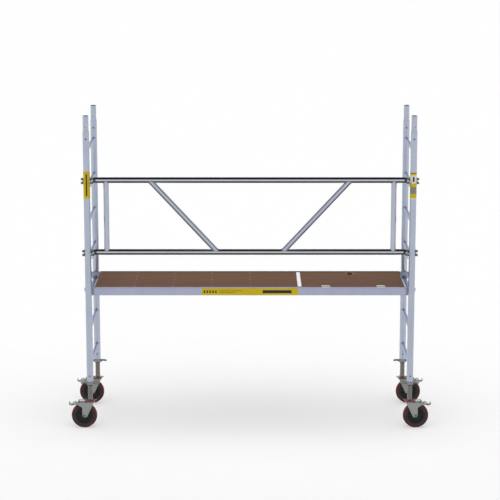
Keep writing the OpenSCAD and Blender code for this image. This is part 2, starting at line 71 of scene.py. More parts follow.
low, high = box_mm("post_front_right")
POST_X, POST_Y = (low.x + high.x) / 2, -(low.y + high.y) / 2
POST_R = (high.x - low.x) / 2
POST_LOW, POST_TOP = low.z, high.z
TUBE_WALL = 2
FOOT_HOLE_Z, FOOT_HOLE_R = 418, 6
LOCK_HOLE_Z, LOCK_HOLE_R = 2369, 6.25
low, high = box_mm("spigots")
SPIGOT_LOW, SPIGOT_TOP = low.z, high.z
SPIGOT_R = 22.25
low, high = box_mm("rungs_right")
RUNG_R = (high.x - low.x) / 2
RUNG_COUNT = 7
RUNG_PITCH = (high.z - low.z - 2 * RUNG_R) / (RUNG_COUNT - 1)
RUNG_Z = [low.z + RUNG_R + i * RUNG_PITCH for i in range(RUNG_COUNT)]
low, high = box_mm("guard_rails")
RAIL_R = (high.y - low.y) / 2
RAIL_Y = (low.y + high.y) / 2
RAIL_HALF = high.x
RAIL_Z = (low.z + RAIL_R, high.z - RAIL_R)
low, high = box_mm("guard_uprights")
BRACE_R = (high.y - low.y) / 2
UPRIGHT_X = high.x - BRACE_R
BRACE_FOOT_X, BRACE_HEAD_X = 251, 770
CLAW_BORE, CLAW_R, CLAW_HALF, CLAW_SLOT = POST_R + 0.4, 45, 23, 7
LEVER_PIVOT = (40, 12)
low, high = box_mm("deck_side_beams")
BEAM_HALF, BEAM_OUT = high.x, high.y
BEAM_LOW, LIP_TOP = low.z, high.z
BEAM_IN = BEAM_OUT - 25
low, high = box_mm("fixed_deck")
DECK_LOW, DECK_TOP = low.z, high.z
PANEL_Y = high.y
DIVIDER_LOW, DIVIDER_HIGH = box_mm("deck_divider")
DOOR_LOW, DOOR_HIGH = box_mm("trapdoor_panel")
HINGE = joint_mm("trapdoor_hinge")
LATCH_X, LATCH_Y = 800, 222
NOSE_RISE = 8
CROSS_BARS = (-900, -600, -300, 0)
HOOK_RUNG = 2
WIND_PIVOT = (joint_mm("wind_lock_right_turn").x, joint_mm("wind_lock_right_turn").z)
SPINDLE_R, THREAD_PITCH, THREAD_LOW, THREAD_HIGH = 19, 8, 206, 640
low, high = box_mm("tyre_front_right")
WHEEL_R = (high.z - low.z) / 2
WHEEL_Z = (low.z + high.z) / 2
TYRE_W = high.y - low.y
TRAIL = (low.x + high.x) / 2 - POST_X
PEDAL_PIVOT = (joint_mm("brake_front_right_press").x - POST_X, joint_mm("brake_front_right_press").z)
FORK_TOP, FORK_IN, FORK_OUT = 208, 27, 31
CORE_R, HUB_R, FLANGE_R = 68, 22, 72.5

# ---- directions ----

ALONG_X = Matrix.Rotation(math.pi / 2, 4, "Y")
ALONG_Y = Matrix.Rotation(-math.pi / 2, 4, "X")
IN_XZ = Matrix(((1, 0, 0, 0), (0, 0, 1, 0), (0, 1, 0, 0), (0, 0, 0, 1)))
IN_YZ = Matrix(((0, 0, 1, 0), (1, 0, 0, 0), (0, 1, 0, 0), (0, 0, 0, 1)))
BOTH = (-1, 1)


def at(x=0, y=0, z=0):
    return Matrix.Translation((x, y, z))


def flipped(s):
    """Turned over to the s side of y."""
    return Matrix.Diagonal((1, s, 1, 1))


def post_axis(name):
    sx, sy = CORNERS[name]
    return at(sx * POST_X, sy * POST_Y)


def corner(name):
    """A corner's own frame: x outward, y away from the middle, origin on the floor under the post."""
    return post_axis(name) @ Matrix.Diagonal((*CORNERS[name], 1, 1))


def claw_frame(name):
    """A claw's own frame: x towards the middle of the bay, y to the back, origin on the post axis."""
    sx, level = CLAWS[name]
    return at(sx * POST_X, -POST_Y, RAIL_Z[level]) @ Matrix.Diagonal((-sx, 1, 1, 1))


def end_frame(side):
    """One end of the platform: x outward."""
    return Matrix.Diagonal((SIDES[side], 1, 1, 1))


# ---- flat outlines ----


def arc(x, y, r, start, end, steps=16):
    """Points on a circle's arc, angles in degrees."""
    angles = [math.radians(start + (end - start) * i / steps) for i in range(steps + 1)]
    return [(x + r * math.cos(a), y + r * math.sin(a)) for a in angles]


def circle(x, y, r, steps=40):
    return arc(x, y, r, 0, 360 - 360 / steps, steps - 1)


def ring_sector(r_in, r_out, start, end, steps=36):
    return arc(0, 0, r_out, start, end, steps) + arc(0, 0, r_in, end, start, steps)


def rectangle(x0, y0, x1, y1):
    return [(x0, y0), (x1, y0), (x1, y1), (x0, y1)]


def mirrored(profile):
    """A profile's points on the other side of z = 0, in the opposite order."""
    return [(r, -z) for r, z in reversed(profile)]


def rounded(points, radii, steps=5):
    """A closed outline with its corners turned into arcs. radii is one number, or one for each corner."""
    out = []
    for i, point in enumerate(points):
        p = Vector(point)
        before, after = Vector(points[i - 1]) - p, Vector(points[(i + 1) % len(points)]) - p
        half = before.angle(after) / 2
        wanted = radii[i] if isinstance(radii, (list, tuple)) else radii
        cut = min(wanted / math.tan(half), 0.49 * min(before.length, after.length))
        turn = math.pi - 2 * half
        if cut < 0.02 or turn < 0.05:
            out.append(tuple(p))
            continue
        centre = p + (before.normalized() + after.normalized()).normalized() * (cut / math.cos(half))
        start = p + before.normalized() * cut - centre
        end = p + after.normalized() * cut - centre
        for k in range(steps + 1):
            t = k / steps
            q = (start * math.sin((1 - t) * turn) + end * math.sin(t * turn)) / math.sin(turn)
            out.append(tuple(centre + q))
    return out


def strip(points, width, steps=6):
    """The outline of a bent sheet seen on edge, with round ends."""
    points = [Vector(p) for p in points]
    sides = []
    for i, p in enumerate(points):
        before = (p - points[i - 1]).normalized() if i else None
        after = (points[i + 1] - p).normalized() if i + 1 < len(points) else None
        along = ((before or after) + (after or before)).normalized()
        normal = Vector((-along.y, along.x))
        stretch = 1 / max(0.5, along.dot(after or before))
        sides.append((p, normal * (width / 2 * stretch)))
    left = [tuple(p + n) for p, n in sides]
    right = [tuple(p - n) for p, n in reversed(sides)]
    tips = []
    for p, n in (sides[-1], (sides[0][0], -sides[0][1])):
        start = math.degrees(math.atan2(n.y, n.x))
        tips.append(arc(p.x, p.y, width / 2, start, start - 180, steps)[1:-1])
    return left + tips[0] + right + tips[1]


# ---- solids, added to a bmesh in millimetres ----


def lathe(bm, profile, m=Matrix(), n=48):
    """Turns a closed profile of (radius, height) points round the z axis of m."""
    angles = [math.tau * i / n for i in range(n)]
    rings = []
    for r, z in profile:
        if r < 1e-6:
            rings.append([bm.verts.new(m @ Vector((0, 0, z)))] * n)
        else:
            rings.append([bm.verts.new(m @ Vector((r * math.cos(a), r * math.sin(a), z))) for a in angles])
    for a, b in zip(rings, rings[1:] + rings[:1]):
        joined(bm, a, b)


def joined(bm, a, b):
    """Faces between two closed rings of vertices."""
    for i in range(len(a)):
        corners = list(dict.fromkeys((a[i - 1], a[i], b[i], b[i - 1])))
        if len(corners) > 2:
            bm.faces.new(corners)


def bar(r, z0, z1):
    """A solid round bar's profile."""
    return [(0, z0), (r, z0), (r, z1), (0, z1)]


def rod(bm, r, z0, z1, m=Matrix(), n=32, edge=0.6):
    """A solid round bar along z of m, with rounded rims."""
    lathe(bm, rounded(bar(r, z0, z1), [0, edge, edge, 0], 2), m, n)


def tube(bm, r_out, r_in, z0, z1, m=Matrix(), n=64, edge=0.5, steps=3):
    """A round tube along z of m, with rounded rims."""
    lathe(bm, rounded([(r_in, z0), (r_out, z0), (r_out, z1), (r_in, z1)], edge, steps), m, n)


def plate(bm, loops, low, high, edge, m=Matrix()):
    """A flat plate from low to high along z of m, with rounded rims. loops are its outline and its holes."""
    curve = bpy.data.curves.new("plate", "CURVE")
    curve.dimensions = "2D"
    curve.fill_mode = "BOTH"
    curve.extrude = (high - low) / 2 - edge
    curve.bevel_depth = edge
    curve.bevel_resolution = 1
    curve.offset = -edge
    for loop in loops:
        spline = curve.splines.new("POLY")
        spline.points.add(len(loop) - 1)
        spline.use_cyclic_u = True
        for point, (x, y) in zip(spline.points, loop):
            point.co = (x, y, 0, 1)
    holder = bpy.data.objects.new("plate", curve)
    mesh = bpy.data.meshes.new_from_object(holder)
    mesh.transform(m @ at(z=(low + high) / 2))
    bm.from_mesh(mesh)
    bpy.data.objects.remove(holder)
    bpy.data.curves.remove(curve)
    bpy.data.meshes.remove(mesh)


def block(bm, low, high, edge=0.6):
    """A rectangular block between two corners, its edges rounded."""
    outline = rounded(rectangle(*low[:2], *high[:2]), edge, 3)
    plate(bm, [outline], low[2], high[2], edge * 0.9)


def hexagon(bm, across, z0, z1, m=Matrix()):
    """A hexagon head or nut with chamfered corners; across is the radius to its corners."""
    plate(bm, [rounded(circle(0, 0, across, 6), 0.8, 2)], z0, z1, 0.9, m)


def dome(bm, r, height, m=Matrix(), n=20):
    """A rivet's low round head on the plane z = 0 of m, sunk a little into it."""
    sink = 0.5
    steps = [math.radians(90 * i / 4) for i in range(5)]
    profile = [(r * math.cos(a), height * math.sin(a)) for a in steps[:-1]] + [(0, height)]
    lathe(bm, [(0, -sink), (r, -sink)] + profile, m, n)


def meet(origin, direction, centre, axis, radius):
    """How far along a line from origin a round tube's near side is."""
    o = origin - centre
    o -= axis * o.dot(axis)
    d = direction - axis * direction.dot(axis)
    a, b, c = d.dot(d), o.dot(d), o.dot(o) - radius * radius
    return (-b - math.sqrt(b * b - a * c)) / a


def coped_tube(bm, p, q, r, mate_axis, mate_r, section=None, n=48):
    """A tube between the axes of two parallel round tubes, sunk a little into them at both ends.

    section gives its radius at each step round it. Returns each end's seam, as a loop and a direction.
    """
    p, q, mate_axis = Vector(p), Vector(q), Vector(mate_axis)
    along = (q - p).normalized()
    side = mate_axis.cross(along).normalized()
    up = along.cross(side)
    middle = (p + q) / 2
    ends = ((p, -along), (q, along))
    sink = 0.4

    def cut(centre, direction, size, reach):
        loop = []
        for i in range(n):
            a = math.tau * i / n
            origin = middle + side * (size(i) * math.cos(a)) + up * (size(i) * math.sin(a))
            loop.append(origin + direction * meet(origin, direction, centre, mate_axis, reach))
        return loop

    skins = (section or (lambda i: r), lambda i: r - TUBE_WALL)
    rings = [[bm.verts.new(v) for v in cut(*end, skin, mate_r - sink)] for skin in skins for end in ends]
    outer_p, outer_q, inner_p, inner_q = rings
    for a, b in ((outer_p, outer_q), (outer_q, inner_q), (inner_q, inner_p), (inner_p, outer_p)):
        joined(bm, a, b)
    return [(cut(*end, lambda i: r, mate_r), along) for end in ends]


def weld_bead(bm, points, axis, width=2.4):
    """A rippled bead laid along a closed loop round a tube's axis."""
    n, ring_n = len(points) * 3, 8
    fine = []
    for i in range(n):
        whole, share = divmod(i / 3, 1)
        a, b = points[int(whole)], points[(int(whole) + 1) % len(points)]
        fine.append(a.lerp(b, share))
    centre = sum(fine, Vector()) / n
    rings = []
    for i, p in enumerate(fine):
        tangent = (fine[(i + 1) % n] - fine[i - 1]).normalized()
        out = (p - centre) - axis * (p - centre).dot(axis)
        out = (out - tangent * out.dot(tangent)).normalized()
        other = tangent.cross(out)
        ripple = width * (1 + 0.14 * math.sin(i * math.tau * 20 / n) + 0.06 * math.sin(i * math.tau * 7 / n))
        angles = [math.tau * k / ring_n for k in range(ring_n)]
        rings.append([bm.verts.new(p + out * (ripple * math.cos(a)) + other * (ripple * math.sin(a)))
                      for a in angles])
    for i in range(n):
        joined(bm, rings[i - 1], rings[i])


def screw_thread(bm, z0, z1, crest, root, pitch, m=Matrix(), n=40):
    """A right-hand thread round the z axis of m, closed at both ends."""
    shoulder = crest - 0.15
    turn = ((0.0, root), (0.18, root), (0.36, shoulder), (0.45, crest),
            (0.63, crest), (0.72, shoulder), (0.9, root))
    turns = int((z1 - z0) / pitch)
    columns = []
    for i in range(n):
        a = math.tau * i / n
        column = []
        for t in range(turns + 1):
            for share, r in turn:
                z = z0 + pitch * (t + share + i / n)
                column.append(bm.verts.new(m @ Vector((r * math.cos(a), r * math.sin(a), z))))
        columns.append(column)
    for i in range(n):
        a, b = columns[i], columns[(i + 1) % n]
        shift = len(turn) if i == n - 1 else 0
        for k in range(len(a) - 1 - shift):
            bm.faces.new((a[k], b[k + shift], b[k + shift + 1], a[k + 1]))
    rim = [e for e in bm.edges if len(e.link_faces) == 1]
    bmesh.ops.holes_fill(bm, edges=rim, sides=0)


def placed(name, data):
    """A new object in the scene."""
    obj = bpy.data.objects.new(name, data)
    bpy.context.scene.collection.objects.link(obj)
    return obj


def as_mesh(bm, name):
    """A new mesh of a bmesh, which it uses up."""
    mesh = bpy.data.meshes.new(name)
    bm.to_mesh(mesh)
    bm.free()
    return mesh


def evaluated(bm, *modifiers):
    """Puts a mesh through some modifiers, each given as a type and its settings."""
    mesh = bpy.data.meshes.new("working")
    bm.to_mesh(mesh)
    holder = placed("working", mesh)
    for kind, settings in modifiers:
        modifier = holder.modifiers.new(kind, kind)
        for key, value in settings.items():
            setattr(modifier, key, value)
    result = bpy.data.meshes.new_from_object(holder.evaluated_get(bpy.context.evaluated_depsgraph_get()))
    bpy.data.objects.remove(holder)
    bpy.data.meshes.remove(mesh)
    bm.clear()
    bm.from_mesh(result)
    bpy.data.meshes.remove(result)


def carve(bm, cutter):
    """Takes the cutter's solids out of a mesh, and uses the cutter up."""
    bmesh.ops.recalc_face_normals(cutter, faces=cutter.faces)
    bmesh.ops.recalc_face_normals(bm, faces=bm.faces)
    mesh = as_mesh(cutter, "cutter")
    holder = placed("cutter", mesh)
    evaluated(bm, ("BOOLEAN", {"operation": "DIFFERENCE", "solver": "EXACT", "object": holder}))
    bpy.data.objects.remove(holder)
    bpy.data.meshes.remove(mesh)


def as_casting(bm, voxel, passes=4):
    """Melts overlapping solids into one skin with soft inner corners, as a casting has."""
    evaluated(bm, ("REMESH", {"mode": "VOXEL", "voxel_size": voxel}),
              ("SMOOTH", {"factor": 0.5, "iterations": passes}))


def finish_from(bm, first, index):
    """Gives the faces made since a count of them one of the piece's finishes."""
    bm.faces.ensure_lookup_table()
    for face in bm.faces[first:]:
        face.material_index = index


def piece(name, bm, finishes, body, replaces=(), sharp=32):
    """Makes one piece, in metres, that rides on a body."""
    bmesh.ops.remove_doubles(bm, verts=bm.verts, dist=0.004)
    bmesh.ops.recalc_face_normals(bm, faces=bm.faces)
    bmesh.ops.scale(bm, vec=(MM, MM, MM), verts=bm.verts)
    mesh = as_mesh(bm, name)
    mesh.shade_smooth()
    mesh.set_sharp_from_angle(angle=math.radians(sharp))
    for finish in finishes if isinstance(finishes, (list, tuple)) else [finishes]:
        mesh.materials.append(finish)
    obj = placed(name, mesh)
    obj.modifiers.new("flat_faces", "WEIGHTED_NORMAL").keep_sharp = True
    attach(obj, body)
    if replaces:
        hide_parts(*replaces)


# ---- materials ----


def fill(node, **values):
    """Sets a node's input sockets. An underscore stands for a space in a socket's name."""
    for key, value in values.items():
        node.inputs[key.replace("_", " ")].default_value = value
    return node


class Surface:
    """A Principled material whose colour, roughness and bump are built from layers of noise in metres."""

    def __init__(self, name, metallic, colour, roughness, **sockets):
        self.material = bpy.data.materials.new(name)
        self.material.use_nodes = True
        self.tree = self.material.node_tree
        self.shader = self.tree.nodes["Principled BSDF"]
        fill(self.shader, Metallic=metallic, Base_Color=(*colour, 1), Roughness=roughness, **sockets)
        self.place = self.tree.nodes.new("ShaderNodeTexCoord").outputs["Object"]
        self.height = None

    def link(self, a, b):
        self.tree.links.new(a, b)

    def node(self, kind, **settings):
        made = self.tree.nodes.new(kind)
        for key, value in settings.items():
            setattr(made, key, value)
        return made

    def mapped(self, stretch):
        mapping = fill(self.node("ShaderNodeMapping"), Scale=stretch)
        self.link(self.place, mapping.inputs["Vector"])
        return mapping.outputs["Vector"]

    def noise(self, scale, stretch=(1, 1, 1), detail=4.0, rough=0.55):
        made = fill(self.node("ShaderNodeTexNoise"), Scale=scale, Detail=detail, Roughness=rough)
        self.link(self.mapped(stretch), made.inputs["Vector"])
        return made.outputs["Fac"]

    def cells(self, scale, output="Distance"):
        made = fill(self.node("ShaderNodeTexVoronoi"), Scale=scale)
        self.link(self.place, made.inputs["Vector"])
        return made.outputs[output]

    def wave(self, scale, direction, stretch):
        made = fill(self.node("ShaderNodeTexWave", bands_direction=direction), Scale=scale)
        self.link(self.mapped(stretch), made.inputs["Vector"])
        return made.outputs["Fac"]

    def span(self, value, low, high, start=0.3, end=0.7):
        """Maps a value from start..end to low..high."""
        made = fill(self.node("ShaderNodeMapRange"), From_Min=start, From_Max=end, To_Min=low, To_Max=high)
        self.link(value, made.inputs["Value"])
        return made.outputs["Result"]

    def math(self, operation, a, b):
        made = self.node("ShaderNodeMath", operation=operation)
        for socket, value in zip(made.inputs, (a, b)):
            if isinstance(value, (int, float)):
                socket.default_value = value
            else:
                self.link(value, socket)
        return made.outputs["Value"]

    def blend(self, factor, a, b):
        """A colour between a and b; each is a colour or a socket."""
        made = self.node("ShaderNodeMix", data_type="RGBA")
        self.link(factor, made.inputs["Factor"])
        for socket, value in zip((made.inputs[6], made.inputs[7]), (a, b)):
            if isinstance(value, tuple):
                socket.default_value = (*value, 1)
            else:
                self.link(value, socket)
        return made.outputs[2]

    def mottle(self, value, colour, dark, light):
        """A colour that runs from a darker to a lighter shade with a value."""
        return self.blend(self.span(value, 0, 1), shade(colour, dark), shade(colour, light))

    def colour(self, socket):
        self.link(socket, self.shader.inputs["Base Color"])

    def roughness(self, socket, extra=None):
        total = self.math("ADD", socket, extra) if extra else socket
        self.link(total, self.shader.inputs["Roughness"])

    def bump(self, height, distance, strength=1.0):
        made = fill(self.node("ShaderNodeBump"), Strength=strength, Distance=distance)
        self.link(height, made.inputs["Height"])
        if self.height is not None:
            self.link(self.height, made.inputs["Normal"])
        self.height = made.outputs["Normal"]
        self.link(self.height, self.shader.inputs["Normal"])


def shade(colour, factor):
    return tuple(min(1.0, c * factor) for c in colour)


def drawn_metal(name, colour, rough, direction, lines=0.15, edge_tint=(1, 1, 1)):
    """Extruded or drawn metal: fine die lines one way, faint blotches, a few handling scratches."""
    stretch = tuple(0.012 if axis == direction else 1 for axis in "xyz")
    s = Surface(name, 1.0, colour, rough, Specular_Tint=(*edge_tint, 1))
    die = s.noise(900, stretch, detail=3)
    blotch = s.noise(9, detail=5)
    scratch = s.noise(260, tuple(0.05 if k == 1 else 1 for k in stretch), detail=2, rough=0.8)
    tone = s.mottle(die, colour, 0.93, 1.05)
    s.colour(s.blend(s.span(blotch, 0, 0.35), tone, shade(colour, 0.86)))
    uneven = s.math("ADD", s.span(die, rough * (1 - lines), rough * (1 + lines)), s.span(blotch, -0.03, 0.05))
    s.roughness(uneven, s.span(scratch, 0, 0.14, 0.66, 0.72))
    s.bump(die, 0.00006)
    return s.material


def cast_metal(name, colour, rough, grain=1.0):
    """Tumbled casting: fine pits, a soft orange peel, darker blotches at random."""
    s = Surface(name, 1.0, colour, rough)
    pits = s.cells(700)
    peel = s.noise(160, detail=5)
    blotch = s.noise(22, detail=4)
    tone = s.mottle(peel, colour, 0.78, 1.15)
    s.colour(s.blend(s.span(blotch, 0, 0.5), tone, shade(colour, 0.72)))
    s.roughness(s.span(peel, rough * 0.85, rough * 1.25))
    s.bump(peel, 0.0004 * grain)
    s.bump(pits, 0.00015 * grain)
    return s.material


def plated_steel(name, colour, rough, spangle=60):
    """Zinc on pressed steel: faint spangle, fine grain and small scuffs."""
    s = Surface(name, 1.0, colour, rough)
    crystals = s.cells(spangle, output="Color")
    fine = s.noise(420, detail=4)
    scuff = s.noise(70, (1, 1, 0.3), detail=6, rough=0.75)
    tone = s.mottle(fine, colour, 0.88, 1.08)
    tone = s.blend(s.math("MULTIPLY", crystals, 0.25), tone, shade(colour, 0.75))
    s.colour(s.blend(s.span(scuff, 0, 0.4, 0.6, 0.72), tone, shade(colour, 1.2)))
    s.roughness(s.span(fine, rough * 0.85, rough * 1.2), s.span(scuff, 0, 0.12, 0.6, 0.72))
    s.bump(fine, 0.00012)
    return s.material


def moulded(name, colour, rough, grain=1.0, scuffs=0.3):
    """Moulded plastic or rubber: fine texture, uneven sheen, pale scuffs."""
    s = Surface(name, 0.0, colour, rough, Specular_IOR_Level=0.25)
    fine = s.noise(1200, detail=3)
    blotch = s.noise(30, detail=5)
    scuff = s.noise(120, (1, 1, 0.25), detail=7, rough=0.8)
    tone = s.mottle(blotch, colour, 0.8, 1.2)
    s.colour(s.blend(s.span(scuff, 0, scuffs, 0.6, 0.75), tone, shade(colour, 2.2)))
    s.roughness(s.span(blotch, rough * 0.88, rough * 1.12), s.span(scuff, 0, 0.15, 0.6, 0.75))
    s.bump(fine, 0.00008 * grain)
    return s.material


def powder_coat(name, colour, rough):
    """Powder coating: orange peel, worn grey at scuffs."""
    s = Surface(name, 0.0, colour, rough, Coat_Weight=0.35, Coat_Roughness=0.2)
    peel = s.noise(350, detail=2)
    blotch = s.noise(40, detail=5)
    scuff = s.noise(150, detail=7, rough=0.8)
    tone = s.mottle(blotch, colour, 0.8, 1.15)
    s.colour(s.blend(s.span(scuff, 0, 0.35, 0.62, 0.7), tone, (0.2, 0.19, 0.18)))
    s.roughness(s.span(peel, rough * 0.85, rough * 1.2))
    s.bump(peel, 0.0002)
    return s.material


def film_plywood(name, colour, rough):
    """Film-faced plywood: pressed wire-mesh pattern, faint veneer grain under the film, boot scuffs."""
    s = Surface(name, 0.0, colour, rough, Specular_IOR_Level=0.12)
    mesh = s.math("MULTIPLY", s.wave(40, "X", (1, 1, 0)), s.wave(40, "Y", (1, 1, 0)))
    veneer = s.noise(35, (0.06, 1, 1), detail=6)
    blotch = s.noise(5, detail=5)
    scuff = s.noise(60, (0.5, 1, 1), detail=8, rough=0.8)
    tone = s.mottle(veneer, colour, 0.85, 1.15)
    tone = s.blend(s.span(blotch, 0, 0.5), tone, shade(colour, 0.82))
    s.colour(s.blend(s.span(scuff, 0, 0.3, 0.6, 0.74), tone, shade(colour, 1.5)))
    pressed = s.span(mesh, rough * 0.85, rough * 1.15, 0, 1)
    s.roughness(pressed, s.span(scuff, 0, 0.1, 0.6, 0.74))
    s.bump(mesh, 0.0003, 0.6)
    s.bump(veneer, 0.0001)
    return s.material


def printed_film(name, colour):
    """Printed sticker film: slightly mottled ink under a clear layer."""
    rough = 0.35
    s = Surface(name, 0.0, colour, rough, Specular_IOR_Level=0.15, Coat_Weight=0.1, Coat_Roughness=0.15)
    ink = s.noise(500, detail=3)
    dirt = s.noise(45, detail=6)
    tone = s.mottle(ink, colour, 0.93, 1.06)
    s.colour(s.blend(s.span(dirt, 0, 0.4, 0.5, 0.8), tone, shade(colour, 0.6)))
    s.roughness(s.span(dirt, rough * 0.9, rough * 1.3))
    s.bump(ink, 0.00003)
    return s.material


TUBE_COLOUR = (0.455, 0.50, 0.60)
tube_x = drawn_metal("rail_tube", (0.50, 0.52, 0.56), 0.07, "x", 0.05)
brace_tube = drawn_metal("brace_tube", (0.50, 0.54, 0.63), 0.36, "z")
tube_y = drawn_metal("rung_tube", (0.42, 0.46, 0.58), 0.3, "y", 0.15, (0.76, 0.8, 0.92))
tube_z = drawn_metal("post_tube", TUBE_COLOUR, 0.3, "z")
# Near-black metal inside the bores: painted shade in the hollow, on a rougher, duller finish.
tube_inside_painted_shade = drawn_metal("tube_inside_painted_shade", (0.07, 0.075, 0.085), 0.55, "z")
profile_x = drawn_metal("beam_profile", (0.41, 0.43, 0.57), 0.3, "x")
profile_y = drawn_metal("cross_profile", (0.41, 0.43, 0.57), 0.3, "y")
# A near-white metal for rivets, hinge plates and the cover strip; on the side beams' upward faces it is a
# painted highlight.
bright_metal_and_highlight = drawn_metal("bright_metal_and_painted_highlight", (0.9, 0.91, 0.93), 0.2, "x")
casting = cast_metal("cast_claw", (0.20, 0.205, 0.22), 0.34)
nut_casting = cast_metal("cast_nut", (0.31, 0.315, 0.31), 0.36)
hook_casting = cast_metal("cast_hook", (0.40, 0.43, 0.52), 0.38)
weld = cast_metal("weld_bead", (0.55, 0.57, 0.62), 0.42, 0.5)
zinc = plated_steel("zinc_steel", (0.33, 0.34, 0.335), 0.32)
thread_steel = plated_steel("thread_steel", (0.30, 0.29, 0.27), 0.4, 90)
bright_zinc = plated_steel("bright_zinc", (0.66, 0.67, 0.68), 0.25)
bolt_zinc = plated_steel("bolt_zinc", (0.17, 0.175, 0.17), 0.3)
dark_steel = plated_steel("dark_steel", (0.06, 0.06, 0.065), 0.4)
black_plastic = moulded("black_plastic", (0.016, 0.016, 0.017), 0.45)
wheel_nylon = moulded("wheel_nylon", (0.013, 0.018, 0.016), 0.42)
tyre_wall = moulded("tyre_wall", (0.05, 0.018, 0.020), 0.42, 0.8, 0.15)
# A redder copy of the tyre's colour for its tread: a painted rim highlight.
tyre_tread_rim_highlight = moulded("tyre_tread_rim_highlight", (0.20, 0.014, 0.016), 0.5, 1.0, 0.15)
red_coat = powder_coat("red_coat", (0.20, 0.010, 0.016), 0.38)
ply_film = film_plywood("ply_film", (0.134, 0.064, 0.032), 0.66)
yellow_film = printed_film("yellow_film", (0.50, 0.37, 0.001))
dark_film = printed_film("dark_film", (0.02, 0.02, 0.02))
pale_film = printed_film("pale_film", (0.62, 0.62, 0.58))
grey_film = printed_film("grey_film", (0.20, 0.19, 0.16))

# ---- end frames ----


def drill(bm, names, radius, z):
    """Holes right through the posts or spigots of some corners, along y."""
    cutter = bmesh.new()
    reach = 60
    for name in names:
        lathe(cutter, bar(radius, -reach, reach), post_axis(name) @ at(z=z) @ ALONG_Y, 28)
    carve(bm, cutter)


def dull_and_shaded_inside(bm, names, radius):
    """Gives the second material, painted shade on a duller finish, to the faces nearer than radius to any of
    the corners' post axes.
    """
    axes = [post_axis(name).translation.xy for name in names]
    for face in bm.faces:
        middle = face.calc_center_median().xy
        if any((middle - axis).length < radius for axis in axes):
            face.material_index = 1


def make_post(name):
    bm = bmesh.new()
    tube(bm, POST_R, POST_R - TUBE_WALL, POST_LOW, POST_TOP, post_axis(name), 72, 0.7)
    drill(bm, [name], FOOT_HOLE_R, FOOT_HOLE_Z)
    dull_and_shaded_inside(bm, [name], POST_R - TUBE_WALL + 0.3)
    piece(f"post_{name}_tube", bm, [tube_z, tube_inside_painted_shade], "frame", [f"post_{name}"])


def make_spigots():
    bm = bmesh.new()
    neck, inside = POST_R - TUBE_WALL - 0.1, SPIGOT_R - 3
    profile = [(inside, SPIGOT_LOW), (neck, SPIGOT_LOW), (neck, POST_TOP), (SPIGOT_R, POST_TOP),
               (SPIGOT_R, SPIGOT_TOP - 3), (SPIGOT_R - 1.5, SPIGOT_TOP), (inside, SPIGOT_TOP)]
    for name in CORNERS:
        lathe(bm, rounded(profile, 0.6, 3), post_axis(name), 72)
    drill(bm, CORNERS, LOCK_HOLE_R, LOCK_HOLE_Z)
    dull_and_shaded_inside(bm, CORNERS, inside + 0.4)
    piece("spigot_tubes", bm, [tube_z, tube_inside_painted_shade], "frame", ["spigots"])


def make_spigot_rivets():
    low, high = box_mm("spigot_rivets")
    z = (low.z + high.z) / 2
    bm = bmesh.new()
    for name in CORNERS:
        axis = post_axis(name)
        for s in BOTH:
            dome(bm, 7, 3, axis @ at(0, s * (POST_R - 0.1), z) @ flipped(s) @ ALONG_Y, 28)
        rod(bm, 5, -POST_R, POST_R, axis @ at(z=z) @ ALONG_Y)
    piece("spigot_rivet_heads", bm, casting, "frame", ["spigot_rivets"])


def ribbed(i):
    """A rung's radius at step i round it: shallow grooves for grip."""
    return RUNG_R - (0.45 if i % 4 == 0 else 0)


def make_rungs(side):
    x = SIDES[side] * POST_X
    bm, beads = bmesh.new(), bmesh.new()
    for z in RUNG_Z:
        ends = (x, -POST_Y, z), (x, POST_Y, z)
        for loop, along in coped_tube(bm, *ends, RUNG_R, (0, 0, 1), POST_R, ribbed, 96):
            weld_bead(beads, loop[::3], along)
    piece(f"rungs_{side}_tubes", bm, tube_y, "frame", [f"rungs_{side}"])
    piece(f"rungs_{side}_welds", beads, weld, "frame")


for name in CORNERS:
    make_post(name)
make_spigots()
make_spigot_rivets()
for side in SIDES:
    make_rungs(side)

# ---- guardrail frame ----


def rail_outline():
    """A rail tube's profile, with two grooves rolled into each end to hold the claw's plug."""
    inside, rim, depth, half_groove = RAIL_R - TUBE_WALL, 0.5, 1.1, 3.4
    outer = [(RAIL_R - rim, RAIL_HALF), (RAIL_R, RAIL_HALF - rim)]
    for back in (8, 23):
        middle = RAIL_HALF - back
        outer += [(RAIL_R - depth * (0.5 + 0.5 * math.cos(math.pi * k / 4)), middle - half_groove * k / 4)
                  for k in range(-4, 5)]
    outer.reverse()
    return [(inside, -RAIL_HALF), *mirrored(outer), *outer, (inside, RAIL_HALF)]


def make_guardrail():
    """Two rails, two uprights and two slanted braces, welded together."""
    bm = bmesh.new()
    for z in RAIL_Z:
        lathe(bm, rail_outline(), at(0, RAIL_Y, z) @ ALONG_X, 72)
    piece("guard_rail_tubes", bm, tube_x, "frame", ["guard_rails"])
    uprights, braces, beads = bmesh.new(), bmesh.new(), bmesh.new()
    seams = []
    for s in BOTH:
        foot, head = (s * UPRIGHT_X, RAIL_Y, RAIL_Z[0]), (s * UPRIGHT_X, RAIL_Y, RAIL_Z[1])
        seams += coped_tube(uprights, foot, head, BRACE_R, (1, 0, 0), RAIL_R)
        foot, head = (s * BRACE_FOOT_X, RAIL_Y, RAIL_Z[0]), (s * BRACE_HEAD_X, RAIL_Y, RAIL_Z[1])
        seams += coped_tube(braces, foot, head, BRACE_R, (1, 0, 0), RAIL_R)
    for loop, along in seams:
        weld_bead(beads, loop, along, 2.6)
    piece("guard_upright_tubes", uprights, brace_tube, "frame", ["guard_uprights"])
    piece("guard_brace_tubes", braces, brace_tube, "frame", ["guard_braces"])
    piece("guard_welds", beads, weld, "frame")


